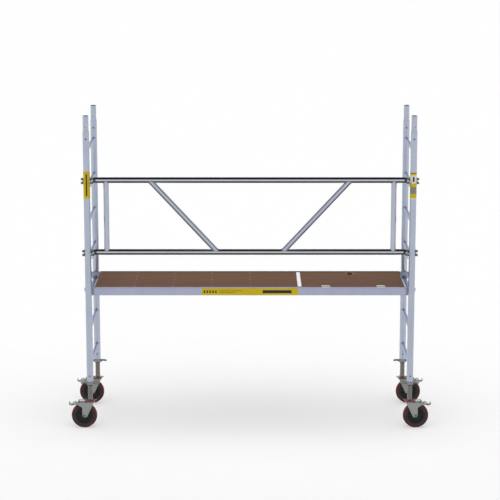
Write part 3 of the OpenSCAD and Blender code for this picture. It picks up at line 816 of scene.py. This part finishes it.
def make_claws():
    """Two hooked fingers with a slot for the lever, on an arm that plugs into the rail's end."""
    behind = RAIL_Y + POST_Y
    plug_x = POST_X - RAIL_HALF
    bm = bmesh.new()
    for name in CLAWS:
        m = claw_frame(name)
        fingers = rounded(ring_sector(CLAW_BORE, CLAW_R, -2, 195), 5)
        web = ring_sector(CLAW_BORE + 1, CLAW_R - 1, 38, 142, 24)
        for z0, z1 in ((-CLAW_HALF, -CLAW_SLOT), (CLAW_SLOT, CLAW_HALF)):
            plate(bm, [fingers], z0, z1, 3, m)
            plate(bm, [circle(*LEVER_PIVOT, 10)], z0, z1, 2, m)
        plate(bm, [web], -CLAW_SLOT - 2, CLAW_SLOT + 2, 1, m)
        arm = m @ at(0, behind, 0) @ ALONG_X
        lathe(bm, rounded(bar(RAIL_R - 2, 10, plug_x - 8), [0, 6, 1, 0]), arm, 40)
        lathe(bm, rounded(bar(RAIL_R, plug_x - 9, plug_x - 0.3), [0, 2.5, 1, 0]), arm, 48)
        lathe(bm, bar(RAIL_R - 3, plug_x - 2, plug_x + 20), arm, 40)
    as_casting(bm, 1.5, 3)
    piece("rail_claw_castings", bm, casting, "frame", ["rail_claws"], 60)


def make_claw_lever(name):
    """A curved pawl in the claw's slot, its pivot pin, and a thumb tab below with grip ridges."""
    m = claw_frame(name)
    px, py = LEVER_PIVOT
    half, tab_end, tab_start = 6, -41, -25
    bm = bmesh.new()
    plate(bm, [rounded(ring_sector(CLAW_BORE + 0.4, 36, -55, 8, 20), 3)], -half, half, 1.2, m)
    plate(bm, [strip([(33.5, 3), LEVER_PIVOT], 11)], -half + 0.4, half - 0.4, 1, m)
    plate(bm, [circle(px, py, 8.2)], -half - 0.4, half + 0.4, 1, m)
    rod(bm, 4, tab_end, CLAW_HALF + 3, m @ at(px, py))
    rod(bm, 6.5, CLAW_HALF + 0.5, CLAW_HALF + 3, m @ at(px, py), edge=0.8)
    plate(bm, [strip([LEVER_PIVOT, (36, -4), (31.5, -13)], 5)], tab_end, tab_start, 1, m)
    for k in range(3):
        rod(bm, 0.9, tab_end + 2, tab_start - 2, m @ at(28.2 + 1.4 * k, -12.4 + 3.2 * k), 10, 0.4)
    piece(f"claw_lever_{name}_pawl", bm, bright_zinc, f"claw_lever_{name}", [f"claw_lever_{name}"])


make_guardrail()
make_claws()
for name in CLAWS:
    make_claw_lever(name)

# ---- platform ----


def make_side_beams():
    """Hollow profiles with a stepped lip round the plywood, a hole for the latch's bolt, and a painted
    highlight on their upward faces.
    """
    lip_in = BEAM_OUT - 9
    step = LIP_TOP - 6
    outline = [(BEAM_IN, BEAM_LOW), (BEAM_IN, DECK_LOW - 0.3), (lip_in, DECK_LOW - 0.3), (lip_in, LIP_TOP),
               (BEAM_OUT - 4.5, LIP_TOP), (BEAM_OUT - 4.5, step), (BEAM_OUT, step), (BEAM_OUT, BEAM_LOW)]
    radii = [1.2, 0.8, 0.5, 0.5, 0.8, 0.5, 0.8, 1.5]
    hollow = rectangle(BEAM_IN + 2, BEAM_LOW + 2, BEAM_OUT - 2, DECK_LOW - 2.3)
    bm = bmesh.new()
    for s in BOTH:
        plate(bm, [rounded(outline, radii, 3), rounded(hollow, 1, 2)], -BEAM_HALF, BEAM_HALF, 0.3,
              flipped(s) @ IN_YZ)
    bolt_low, bolt_high = box_mm("latch_bolt")
    clear = 3
    strike = bmesh.new()
    block(strike, (bolt_low.x - clear, BEAM_IN - clear, bolt_low.z - clear),
          (bolt_high.x + clear, BEAM_IN + 5, bolt_low.z + NOSE_RISE + clear))
    carve(bm, strike)
    # The lip's upward faces take the near-white metal: a painted highlight where the top of the aluminium
    # profile catches the light.
    for face in bm.faces:
        if face.normal.z > 0.8 and face.calc_center_median().z > step - 1:
            face.material_index = 1
    piece("side_beam_profiles", bm, [profile_x, bright_metal_and_highlight], "frame", ["deck_side_beams"])


def box_tube(bm, x0, x1, z0, z1, y_end):
    outline = rounded(rectangle(x0, z0, x1, z1), 2.5, 4)
    hollow = rounded(rectangle(x0 + 2, z0 + 2, x1 - 2, z1 - 2), 1, 2)
    plate(bm, [outline, hollow], -y_end, y_end, 0.3, IN_XZ)


def make_cross_beams():
    """Box tubes under the deck, and the end ones with two ears for each wind lock."""
    top = DECK_LOW - 0.3
    bar_low = top - 32
    y_end = BEAM_IN - 0.1
    bm = bmesh.new()
    for x in CROSS_BARS:
        box_tube(bm, x - 20, x + 20, bar_low, top, y_end)
    wide_mid = (DIVIDER_LOW.x + DIVIDER_HIGH.x) / 2 + 7.25
    box_tube(bm, wide_mid - 25, wide_mid + 25, bar_low, top, y_end)
    for side in SIDES:
        m = end_frame(side)
        sx = SIDES[side]
        x0, x1 = sorted((sx * (BEAM_HALF - 25), sx * BEAM_HALF))
        box_tube(bm, x0, x1, BEAM_LOW, top, y_end)
        px, pz = WIND_PIVOT
        for s in BOTH:
            ear = rounded([(BEAM_HALF, BEAM_LOW + 14), (px + 4, BEAM_LOW + 6), (px + 8, pz), (px + 3, pz - 8),
                           (px - 6, pz - 7), (BEAM_HALF, BEAM_LOW)], [0, 5, 6, 5, 5, 0])
            plate(bm, [ear], 8, 12, 0.6, m @ flipped(s) @ IN_XZ)
    piece("cross_beam_profiles", bm, profile_y, "frame", ["deck_cross_beams"])


def make_hooks():
    """Cast hooks over the rungs, each with three rivets."""
    _, high = box_mm("deck_hooks")
    width = 38
    r = RUNG_R + 0.4
    z = RUNG_Z[HOOK_RUNG]
    x0, x1 = BEAM_HALF + 0.1, high.x
    throat = [(POST_X - r, BEAM_LOW), *arc(POST_X, z, r, 180, 0, 20), (POST_X + r, BEAM_LOW)]
    back = rounded([(POST_X + r, BEAM_LOW), (POST_X + 20, BEAM_LOW), (POST_X + 26, BEAM_LOW + 8),
                    (x1, BEAM_LOW + 44), (x1, DECK_TOP - 4), (x1 - 6, DECK_TOP + 1), (x0, DECK_TOP + 1),
                    (x0, BEAM_LOW)], [0, 1.5, 5, 6, 3, 4, 1, 1])[1:]
    bm = bmesh.new()
    for side in SIDES:
        for s in BOTH:
            m = end_frame(side) @ flipped(s) @ IN_XZ
            plate(bm, [throat + back], BEAM_OUT - width, BEAM_OUT, 2, m)
            for px, pz in ((x0 + 11, z - 2), (x0 + 11, DECK_TOP - 9), (x1 - 12, DECK_TOP - 9)):
                dome(bm, 4.5, 2, m @ at(px, pz, BEAM_OUT - 0.4), 20)
    piece("rung_hook_castings", bm, hook_casting, "frame", ["deck_hooks"])


def make_wind_lock(side):
    """A bell crank on its pin, one arm under the rung."""
    m = end_frame(side)
    px, pz = WIND_PIVOT
    bm = bmesh.new()
    plate(bm, [strip([(px - 4, pz - 30), (px, pz), (px + 36, pz - 2)], 8)], -7.5, 7.5, 1, m @ IN_XZ)
    pin = m @ at(px, 0, pz) @ ALONG_Y
    rod(bm, 6, -7.8, 7.8, pin, 24)
    rod(bm, 3, -14, 14, pin, 20)
    piece(f"wind_lock_{side}_catch", bm, bright_zinc, f"wind_lock_{side}", [f"wind_lock_{side}"])


def make_decks():
    """The fixed board, its strip in front of the trapdoor, and the trapdoor's board with its finger hole."""
    end = DIVIDER_HIGH.x
    strip_y = -PANEL_Y + 16
    bm = bmesh.new()
    plate(bm, [rounded(rectangle(-BEAM_HALF, -PANEL_Y, end, PANEL_Y), 1, 3)], DECK_LOW, DECK_TOP, 0.7)
    plate(bm, [rounded(rectangle(end + 2.5, -PANEL_Y, BEAM_HALF, strip_y), 1, 3)], DECK_LOW, DECK_TOP, 0.7)
    piece("fixed_deck_panel", bm, ply_film, "frame", ["fixed_deck"])
    bm = bmesh.new()
    door = rounded(rectangle(DOOR_LOW.x, DOOR_LOW.y, DOOR_HIGH.x, DOOR_HIGH.y), 2, 3)
    r, half = 22, 14
    finger = arc(LATCH_X, LATCH_Y + half, r, 0, 180) + arc(LATCH_X, LATCH_Y - half, r, 180, 360)
    plate(bm, [door, finger], DECK_LOW, DECK_TOP, 0.7)
    piece("trapdoor_board", bm, ply_film, "trapdoor", ["trapdoor_panel"])


def make_deck_rivets():
    """Low rivets through the plywood into the cross bars and the left end beam."""
    bm = bmesh.new()
    for x in (*CROSS_BARS, -BEAM_HALF + 12):
        for y in range(-250, 251, 125):
            dome(bm, 4.5, 0.7, at(x, y, DECK_TOP - 0.1), 16)
    piece("deck_rivets", bm, bright_metal_and_highlight, "frame")


def make_divider():
    """The cover profile across the deck, with its rivets."""
    bm = bmesh.new()
    low, high = DIVIDER_LOW, DIVIDER_HIGH
    thick = high.z - DECK_TOP
    section = rounded([(low.x, DECK_TOP), (low.x + 2.5, DECK_TOP + thick), (high.x - 2.5, DECK_TOP + thick),
                       (high.x, DECK_TOP)], [0, 1.5, 1.5, 0])
    plate(bm, [section], low.y, high.y, 0.4, IN_XZ)
    for k in range(5):
        y = low.y + 25 + (high.y - low.y - 50) * k / 4
        dome(bm, 4, 1.1, at((low.x + high.x) / 2, y, high.z - 0.1), 20)
    piece("cover_strip", bm, bright_metal_and_highlight, "frame", ["deck_divider"])


def make_hinges():
    """Two butt hinges: knuckles rolled from the leaves, a pin, and screws."""
    base_low, _ = box_mm("hinge_base_leaves")
    door_low, door_high = box_mm("hinge_door_leaves")
    length, knuckle, bore, gap = 66, 4.5, 2.3, 0.25
    third, half = length / 3, length / 2
    xs = (door_low.x + half, door_high.x - half)
    base, door = bmesh.new(), bmesh.new()
    for x in xs:
        axis = at(x, HINGE.y, HINGE.z) @ ALONG_X
        for z0, mesh in ((-half, base), (-third / 2, door), (third / 2, base)):
            tube(mesh, knuckle, bore, z0 + gap, z0 + third - gap, axis, 28, 0.4, 2)
        rod(base, 2.2, -half - 0.8, half + 0.8, axis, 20)
        leaf = rounded(rectangle(x - half, base_low.y, x + half, HINGE.y - 3.6), [3, 3, 0.5, 0.5])
        plate(base, [leaf], LIP_TOP + 0.3, LIP_TOP + 2.6, 0.4)
        leaf = rounded(rectangle(x - half, HINGE.y + 6, x + half, door_high.y), [0.5, 0.5, 5, 5])
        plate(door, [leaf], DECK_TOP, DECK_TOP + 2.6, 0.5)
        neck = rectangle(x - third / 2 + 0.3, HINGE.y + 2.5, x + third / 2 - 0.3, HINGE.y + 8)
        plate(door, [rounded(neck, 0.4, 2)], DECK_TOP + 1.2, DECK_TOP + 3.2, 0.4)
        for k in BOTH:
            dome(base, 3, 0.9, at(x + k * 22, (base_low.y + HINGE.y) / 2 - 1, LIP_TOP + 2.5), 18)
            for y in (20, 44):
                dome(door, 4, 1, at(x + k * 20, HINGE.y + y, DECK_TOP + 2.5), 20)
    piece("hinge_base_plates", base, bright_metal_and_highlight, "frame", ["hinge_base_leaves"])
    piece("hinge_door_plates", door, bright_metal_and_highlight, "trapdoor", ["hinge_door_leaves"])


def make_latch():
    """A tray under the finger hole, open above and at the bolt's end, two rivets, and the slide bolt."""
    low, high = box_mm("latch_housing")
    x = LATCH_X
    bm = bmesh.new()
    length, inset = 70, 0.5
    outer = rounded(rectangle(low.x, low.y, low.x + length, high.y), 8)
    cavity = rounded(rectangle(x - 22, low.y + 4, x + 22, high.y - 4), 4)
    plate(bm, [outer, cavity], low.z + 3, DECK_LOW, 0.8)
    lid = rectangle(low.x + inset, low.y + inset, low.x + length - inset, high.y - inset)
    plate(bm, [rounded(lid, 8)], low.z, low.z + 3.5, 0.9)
    rivets = bmesh.new()
    for sx in BOTH:
        dome(rivets, 6, 1.6, at(x + sx * 30, LATCH_Y + 8, DECK_TOP - 0.1), 24)
    piece("latch_rivets", rivets, bright_metal_and_highlight, "trapdoor")
    cutter = bmesh.new()
    block(cutter, (x - 11, high.y - 10, low.z + 4), (x + 11, high.y + 10, low.z + 14.4), 0.3)
    carve(bm, cutter)
    piece("latch_tray", bm, black_plastic, "trapdoor", ["latch_housing"])
    low, high = box_mm("latch_bolt")
    bm = bmesh.new()
    top = low.z + NOSE_RISE
    nose = rounded([(low.y, low.z), (high.y, low.z), (high.y, low.z + 3), (high.y - 5, top),
                    (low.y + 6, top), (low.y + 6, high.z), (low.y, high.z)], [1, 0.6, 0.6, 1, 2, 2, 2])
    plate(bm, [nose], low.x, high.x, 0.8, IN_YZ)
    for k in range(3):
        rod(bm, 0.8, low.x + 2, high.x - 2, at(0, low.y + 6, high.z - 4 - 3 * k) @ ALONG_X, 10, 0.3)
    piece("latch_slide_bolt", bm, bright_zinc, "latch", ["latch_bolt"])


make_side_beams()
make_cross_beams()
make_hooks()
for side in SIDES:
    make_wind_lock(side)
make_decks()
make_deck_rivets()
make_divider()
make_hinges()
make_latch()

# ---- legs and castors ----


def make_spindle(name):
    """The threaded tube, its foot flange and stem, and the bolt through it."""
    _, high = box_mm(f"spindle_{name}")
    straight = post_axis(name)
    bore, bolt_z = 13, 226
    bm = bmesh.new()
    screw_thread(bm, THREAD_LOW, THREAD_HIGH, SPINDLE_R, SPINDLE_R - 1.8, THREAD_PITCH, straight)
    tube(bm, SPINDLE_R - 1, bore, THREAD_HIGH - 10, high.z, straight, 48)
    flange = [(0, 208.6), (27, 208.6), (27, 212), (22, 215), (SPINDLE_R + 0.4, 216), (SPINDLE_R + 0.4, 238),
              (SPINDLE_R - 1.8, 240), (0, 240)]
    lathe(bm, rounded(flange, [0, 1, 1.5, 2, 2, 1, 0.5, 0]), straight, 56)
    lathe(bm, rounded([(0, 198.6), (17, 198.6), (17, 202.4), (12, 202.4), (12, 209), (0, 209)],
                      [0, 1, 1, 0.5, 0, 0]), straight, 40)
    piece(f"spindle_{name}_screw", bm, thread_steel, f"leg_{name}", [f"spindle_{name}"])
    m = corner(name) @ at(z=bolt_z) @ ALONG_Y
    bm = bmesh.new()
    rod(bm, 4.5, -23, 20, m, 24)
    hexagon(bm, 7, SPINDLE_R + 0.8, SPINDLE_R + 6, m)
    hexagon(bm, 6.5, -SPINDLE_R - 4, -SPINDLE_R - 0.8, m)
    piece(f"stem_bolt_{name}", bm, dark_steel, f"leg_{name}")


def make_wing_nut(name):
    """A cast nut with two webbed handles."""
    low, high = box_mm(f"wing_nut_{name}")
    m = corner(name)
    reach = (high.x - low.x) / 2
    bore = SPINDLE_R + 0.1
    bm = bmesh.new()
    lathe(bm, rounded([(bore, low.z), (22, low.z), (27, low.z + 6), (27, high.z), (bore, high.z)],
                      [0.5, 2, 3, 1.5, 0.5]), m, 64)
    for s in BOTH:
        arm_z = low.z + 20
        arm = strip([(bore + 2.5, arm_z - 1), (30, arm_z), (46, arm_z + 1), (reach - 7, arm_z - 2)], 14)
        web = [(bore + 2, low.z + 3), (46, arm_z - 5), (bore + 2, arm_z)]
        side = m @ Matrix.Diagonal((s, 1, 1, 1)) @ IN_XZ
        plate(bm, [arm], -7, 7, 3.2, side)
        plate(bm, [web], -3.5, 3.5, 1, side)
    as_casting(bm, 1.3, 3)
    nut = f"wing_nut_{name}"
    piece(f"{nut}_casting", bm, nut_casting, nut, [nut], 60)


def make_fork(name):
    """Two cheeks with pressed ribs, the crown between them, the swivel race, and the axle with its nut."""
    m = corner(name)
    top = FORK_TOP
    cheek = [(-25, top - 6), (-25, 199), (29, 86.6), (63.4, 86.6), (63.4, 166),
             (98, 186), (102, 192), (102, top), (82, top), (82, top - 6)]
    radii = [0, 6, 16, 17, 6, 8, 4, 4, 3, 1]
    crown = [(FORK_OUT, top - 6), (FORK_OUT, top), (-FORK_OUT, top), (-FORK_OUT, top - 6),
             (-FORK_IN, top - 6), (-FORK_IN, top - 4.5), (FORK_IN, top - 4.5), (FORK_IN, top - 6)]
    bm = bmesh.new()
    for s in BOTH:
        side = m @ flipped(s) @ IN_XZ
        plate(bm, [rounded(cheek, radii)], FORK_IN, FORK_OUT, 0.8, side)
        for rib in (strip([(-10, 186), (34, 112)], 7), strip([(54, 165), (54, 112)], 6)):
            plate(bm, [rib], FORK_OUT - 1.5, FORK_OUT + 0.9, 0.9, side)
        plate(bm, [circle(TRAIL, WHEEL_Z, 13)], FORK_OUT - 1, FORK_OUT + 0.5, 0.4, side)
    plate(bm, [rounded(crown, [0, 5, 5, 0, 0, 1, 1, 0])], -25, 80, 0.5, m @ IN_YZ)
    race = [(12.4, 203.3), (34, 203.3), (34, 209), (32, 212), (27.7, 212), (27.7, 208.3), (12.4, 208.3)]
    lathe(bm, rounded(race, [0.4, 1, 3, 1.5, 0.5, 0.5, 0.4]), m, 64)
    piece(f"fork_{name}_pressing", bm, zinc, f"castor_{name}", [f"fork_{name}"])
    bm = bmesh.new()
    axle = m @ at(TRAIL, 0, WHEEL_Z) @ ALONG_Y
    rod(bm, 6, -39, 37, axle, 28, 1)
    rod(bm, 10, -26.4, 26.4, axle, 28)
    for z in (FORK_OUT + 0.4, -FORK_OUT - 1.8):
        rod(bm, 11.5, z, z + 1.4, axle, 32, 0.4)
    hexagon(bm, 10.3, FORK_OUT + 1.7, FORK_OUT + 7, axle)
    hexagon(bm, 10.3, -FORK_OUT - 7.6, -FORK_OUT - 1.7, axle)
    piece(f"axle_{name}_bolt", bm, bolt_zinc, f"castor_{name}", [f"axle_bolt_{name}"])


def make_wheel(name):
    """A ribbed core with a flange each side, and the tyre round it, its tread painted redder as a rim
    highlight.
    """
    m = corner(name) @ at(TRAIL, 0, WHEEL_Z)
    wheel = m @ ALONG_Y
    bm = bmesh.new()
    half = [(10.2, 25), (HUB_R - 3, 25), (HUB_R, 22), (HUB_R + 2, 9.5), (CORE_R - 13, 8), (CORE_R - 9, 21.5),
            (FLANGE_R, 21.5), (FLANGE_R, 19.9), (CORE_R, 19.8)]
    radii = [0.4, 1.5, 2, 5, 5, 2, 0.6, 0.2, 0.5]
    lathe(bm, rounded(half + mirrored(half), radii + radii[::-1], 4), wheel, 96)
    for k in range(8):
        turned = wheel @ Matrix.Rotation(math.tau * (k + 0.5) / 8, 4, "Z")
        rib = [(HUB_R - 1, 5), (CORE_R - 10, 5), (CORE_R - 10, 15), (HUB_R + 8, 20), (HUB_R - 1, 20)]
        for s in BOTH:
            half_turned = turned @ Matrix.Diagonal((1, 1, s, 1)) @ IN_XZ
            plate(bm, [rounded(rib, [0, 0, 3, 6, 0])], -1.8, 1.8, 0.7, half_turned)
    core = f"wheel_core_{name}"
    piece(f"{core}_moulding", bm, wheel_nylon, f"wheel_{name}", [core])
    bm = bmesh.new()
    half_w, crown = TYRE_W / 2, 46
    shoulder = math.degrees(math.asin(half_w / crown))
    tread = arc(WHEEL_R - crown, 0, crown, -shoulder, shoulder, 18)
    side_r = tread[-1][0]
    seat, bead = FLANGE_R + 0.2, half_w - 1
    wall = [(side_r, half_w), (FLANGE_R + 6, half_w), (FLANGE_R + 4.5, bead), (seat, bead),
            (seat, 19.7), (CORE_R + 0.1, 19.7)]
    wall = rounded(wall, [3, 0.8, 0.5, 0.3, 0, 0], 3)
    lathe(bm, tread[1:-1] + wall + mirrored(wall), wheel, 128)
    centre = wheel.translation
    # Faces out at the tread take the redder finish, a painted rim highlight.
    for face in bm.faces:
        if (face.calc_center_median() - centre).length > WHEEL_R - 4:
            face.material_index = 1
    piece(f"tyre_{name}_band", bm, [tyre_wall, tyre_tread_rim_highlight], f"wheel_{name}", [f"tyre_{name}"])


def make_brake(name):
    """The pedal with its upturned toe, and the red release ring on its zinc link."""
    m = corner(name)
    side = m @ IN_XZ
    half_width = 22
    bm = bmesh.new()
    spine = [PEDAL_PIVOT, (106, 194), (140, 184.5), (155, 184.5), (163, 191), (164.5, 202)]
    plate(bm, [strip(spine, 5)], -half_width, half_width, 1.2, side)
    plate(bm, [strip([(106, 194), (112, 203), (122, 206), (134, 201), (145, 187)], 3.5)], -15, 15, 1, side)
    for s in BOTH:
        cheek = rounded([(99, 196), (108, 186.5), (122, 185.6), (138, 184), (128, 190)], 1.5)
        plate(bm, [cheek], 17, 21, 0.8, m @ flipped(s) @ IN_XZ)
    for k in range(4):
        rod(bm, 1.3, -18, 18, m @ at(146 + 3.4 * k, 0, 187.0) @ ALONG_Y, 12, 0.6)
    pin = m @ at(PEDAL_PIVOT[0], 0, PEDAL_PIVOT[1]) @ ALONG_Y
    rod(bm, 5.5, -half_width, half_width, pin, 28)
    rod(bm, 4, -FORK_OUT - 3, FORK_OUT + 3, pin, 24, 1)
    piece(f"brake_pedal_{name}_plate", bm, zinc, f"brake_{name}", [f"brake_pedal_{name}"])
    bm = bmesh.new()
    ring_low, ring_high = 214.3, 220
    mid = (ring_low + ring_high) / 2
    ring = rounded(arc(0, 0, 39, 42.8, 317.2, 48) + [(46, -26.5), (46, 26.5)], [0] * 49 + [3, 3])
    plate(bm, [ring, circle(0, 0, 31, 56)], ring_low, ring_high, 1, m)
    red_faces = len(bm.faces)
    for s in BOTH:
        arm = m @ flipped(s) @ IN_XZ
        plate(bm, [strip([PEDAL_PIVOT, (91, mid - 1), (86, mid), (43, mid)], 4.2)], 22.4, 26.5, 0.7, arm)
        plate(bm, [circle(*PEDAL_PIVOT, 5.5)], 22.4, 26.5, 0.7, arm)
    finish_from(bm, red_faces, 1)
    plate(bm, [strip([(-35, mid), (-41, mid + 1), (-47, 224)], 4)], -10, 10, 1.2, side)
    rod(bm, 5, ring_low, 226, m @ at(35), 24, 1)
    piece(f"release_yoke_{name}_plate", bm, [red_coat, zinc], f"brake_{name}",
          [f"release_yoke_{name}"])


for name in CORNERS:
    make_spindle(name)
    make_wing_nut(name)
    make_fork(name)
    make_wheel(name)
    make_brake(name)

# ---- labels: generic marks, no words ----


def curved_patch(bm, name, angles, z0, z1, lift0, lift1, index, n=24):
    """A thin curved slab on a post, from one lift off its skin to another; angles in degrees from +X."""
    before = len(bm.faces)
    outline = ring_sector(POST_R + lift0, POST_R + lift1, *angles, n)
    plate(bm, [outline], z0, z1, 0.03, post_axis(name))
    finish_from(bm, before, index)


def flat_patch(bm, x0, x1, z0, z1, lift0, lift1, index):
    """A thin flat slab on the front beam, from one lift off its face to another."""
    before = len(bm.faces)
    outline = rounded(rectangle(x0, z0, x1, z1), 0.8, 2)
    plate(bm, [outline], -BEAM_OUT - lift1, -BEAM_OUT - lift0, 0.02, IN_XZ)
    finish_from(bm, before, index)


def make_beam_label():
    """A yellow strip with dark blocks and bars."""
    bm = bmesh.new()
    half, low, high = 373, BEAM_LOW + 1.8, LIP_TOP - 7.5
    middle = (low + high) / 2
    flat_patch(bm, -half, half, low, high, 0, 0.2, 0)
    blocks = [(15 + 22 * k - half, 27 + 22 * k - half, -10, 10) for k in range(5)]
    bars = [(-240, -60, 6, 9), (-240, -110, -7, -4), (98, 322, -12, 12)]
    for x0, x1, below, above in blocks + bars:
        flat_patch(bm, x0, x1, middle + below, middle + above, 0.15, 0.3, 1)
    piece("beam_label", bm, [yellow_film, dark_film], "frame")


def make_post_labels():
    """A dark bar up the left label; bands, a pale plate and a grey block on the right one."""
    wrap, block_wrap, bar_wrap = (184, 356), (205, 335), (255, 285)
    bm = bmesh.new()
    curved_patch(bm, "front_left", wrap, 1817, 2025, -0.1, 0.2, 0)
    curved_patch(bm, "front_left", (258, 282), 1838, 2004, 0.1, 0.3, 1, 8)
    piece("post_label_left", bm, [yellow_film, dark_film], "frame")
    bm = bmesh.new()
    curved_patch(bm, "front_right", wrap, 1813, 2018, -0.1, 0.2, 0)
    bands = ((wrap, 2010, 2014, 1), (block_wrap, 1934, 1996, 2),
             (block_wrap, 1854, 1906, 3), (wrap, 1813, 1820, 2))
    for angles, z0, z1, index in bands:
        curved_patch(bm, "front_right", angles, z0, z1, 0.1, 0.26, index)
    curved_patch(bm, "front_right", bar_wrap, 1946, 1984, 0.22, 0.34, 1, 8)
    piece("post_label_right", bm, [yellow_film, dark_film, pale_film, grey_film], "frame")


make_beam_label()
make_post_labels()

# ---- floor, light and camera ----


def make_stage():
    """A floor that runs to the horizon, half see-through so that the legs show where they run below it."""
    bm = bmesh.new()
    bmesh.ops.create_circle(bm, cap_ends=True, segments=128, radius=90)
    mesh = as_mesh(bm, "floor")
    floor = placed("floor", mesh)
    floor.visible_glossy = False
    pale = (0.9, 0.9, 0.9)
    s = Surface("floor_paint", 0.0, pale, 0.9, Alpha=0.62, Specular_IOR_Level=0.1)
    s.colour(s.blend(s.span(s.noise(3, detail=3), 0, 1), pale, shade(pale, 1.011)))
    mesh.materials.append(s.material)


def make_world():
    """Bright studio walls up to 32 degrees above level and 38 below it, dark above them, grey below."""
    world = bpy.data.worlds.new("studio")
    bpy.context.scene.world = world
    world.use_nodes = True
    nodes, links = world.node_tree.nodes, world.node_tree.links
    place = nodes.new("ShaderNodeTexCoord")
    split = nodes.new("ShaderNodeSeparateXYZ")
    ramp = nodes.new("ShaderNodeValToRGB")
    links.new(place.outputs["Generated"], split.inputs["Vector"])
    links.new(ramp.outputs["Color"], nodes["Background"].inputs["Color"])
    shifted = fill(nodes.new("ShaderNodeMapRange"), From_Min=-1)
    links.new(split.outputs["Z"], shifted.inputs["Value"])
    links.new(shifted.outputs["Result"], ramp.inputs["Fac"])
    grey, ceiling = (0.12, 0.125, 0.13, 1), (0.03, 0.032, 0.036, 1)
    white, dim = (1, 1, 1, 1), (0.85, 0.85, 0.85, 1)
    stops = ((-0.62, grey), (-0.5, dim), (-0.36, dim), (-0.24, white), (0.45, white), (0.53, ceiling))
    while len(ramp.color_ramp.elements) < len(stops):
        ramp.color_ramp.elements.new(0.5)
    for element, (height, colour) in zip(ramp.color_ramp.elements, stops):
        element.position = (height + 1) / 2
        element.color = colour


def make_light():
    """A wide soft light from far above, a little to the front."""
    light = bpy.data.lights.new("overhead", "SUN")
    light.angle = math.radians(90)
    light.energy = 2.7
    lamp = placed("overhead", light)
    lamp.rotation_euler.x = math.radians(12)
    lamp.visible_glossy = False


def make_camera():
    """A long lens in front of the middle, looking back along +Y and 11.2 degrees down."""
    data = bpy.data.cameras.new("camera")
    data.sensor_width = 36
    data.lens = 129.3
    data.clip_end = 400
    camera = placed("camera", data)
    camera.location = (0, -13.873, 4.092)
    camera.rotation_euler = (math.radians(78.8), 0, 0)
    bpy.context.scene.camera = camera


make_stage()
make_world()
make_light()
make_camera()
bpy.context.scene.view_settings.view_transform = "Standard"
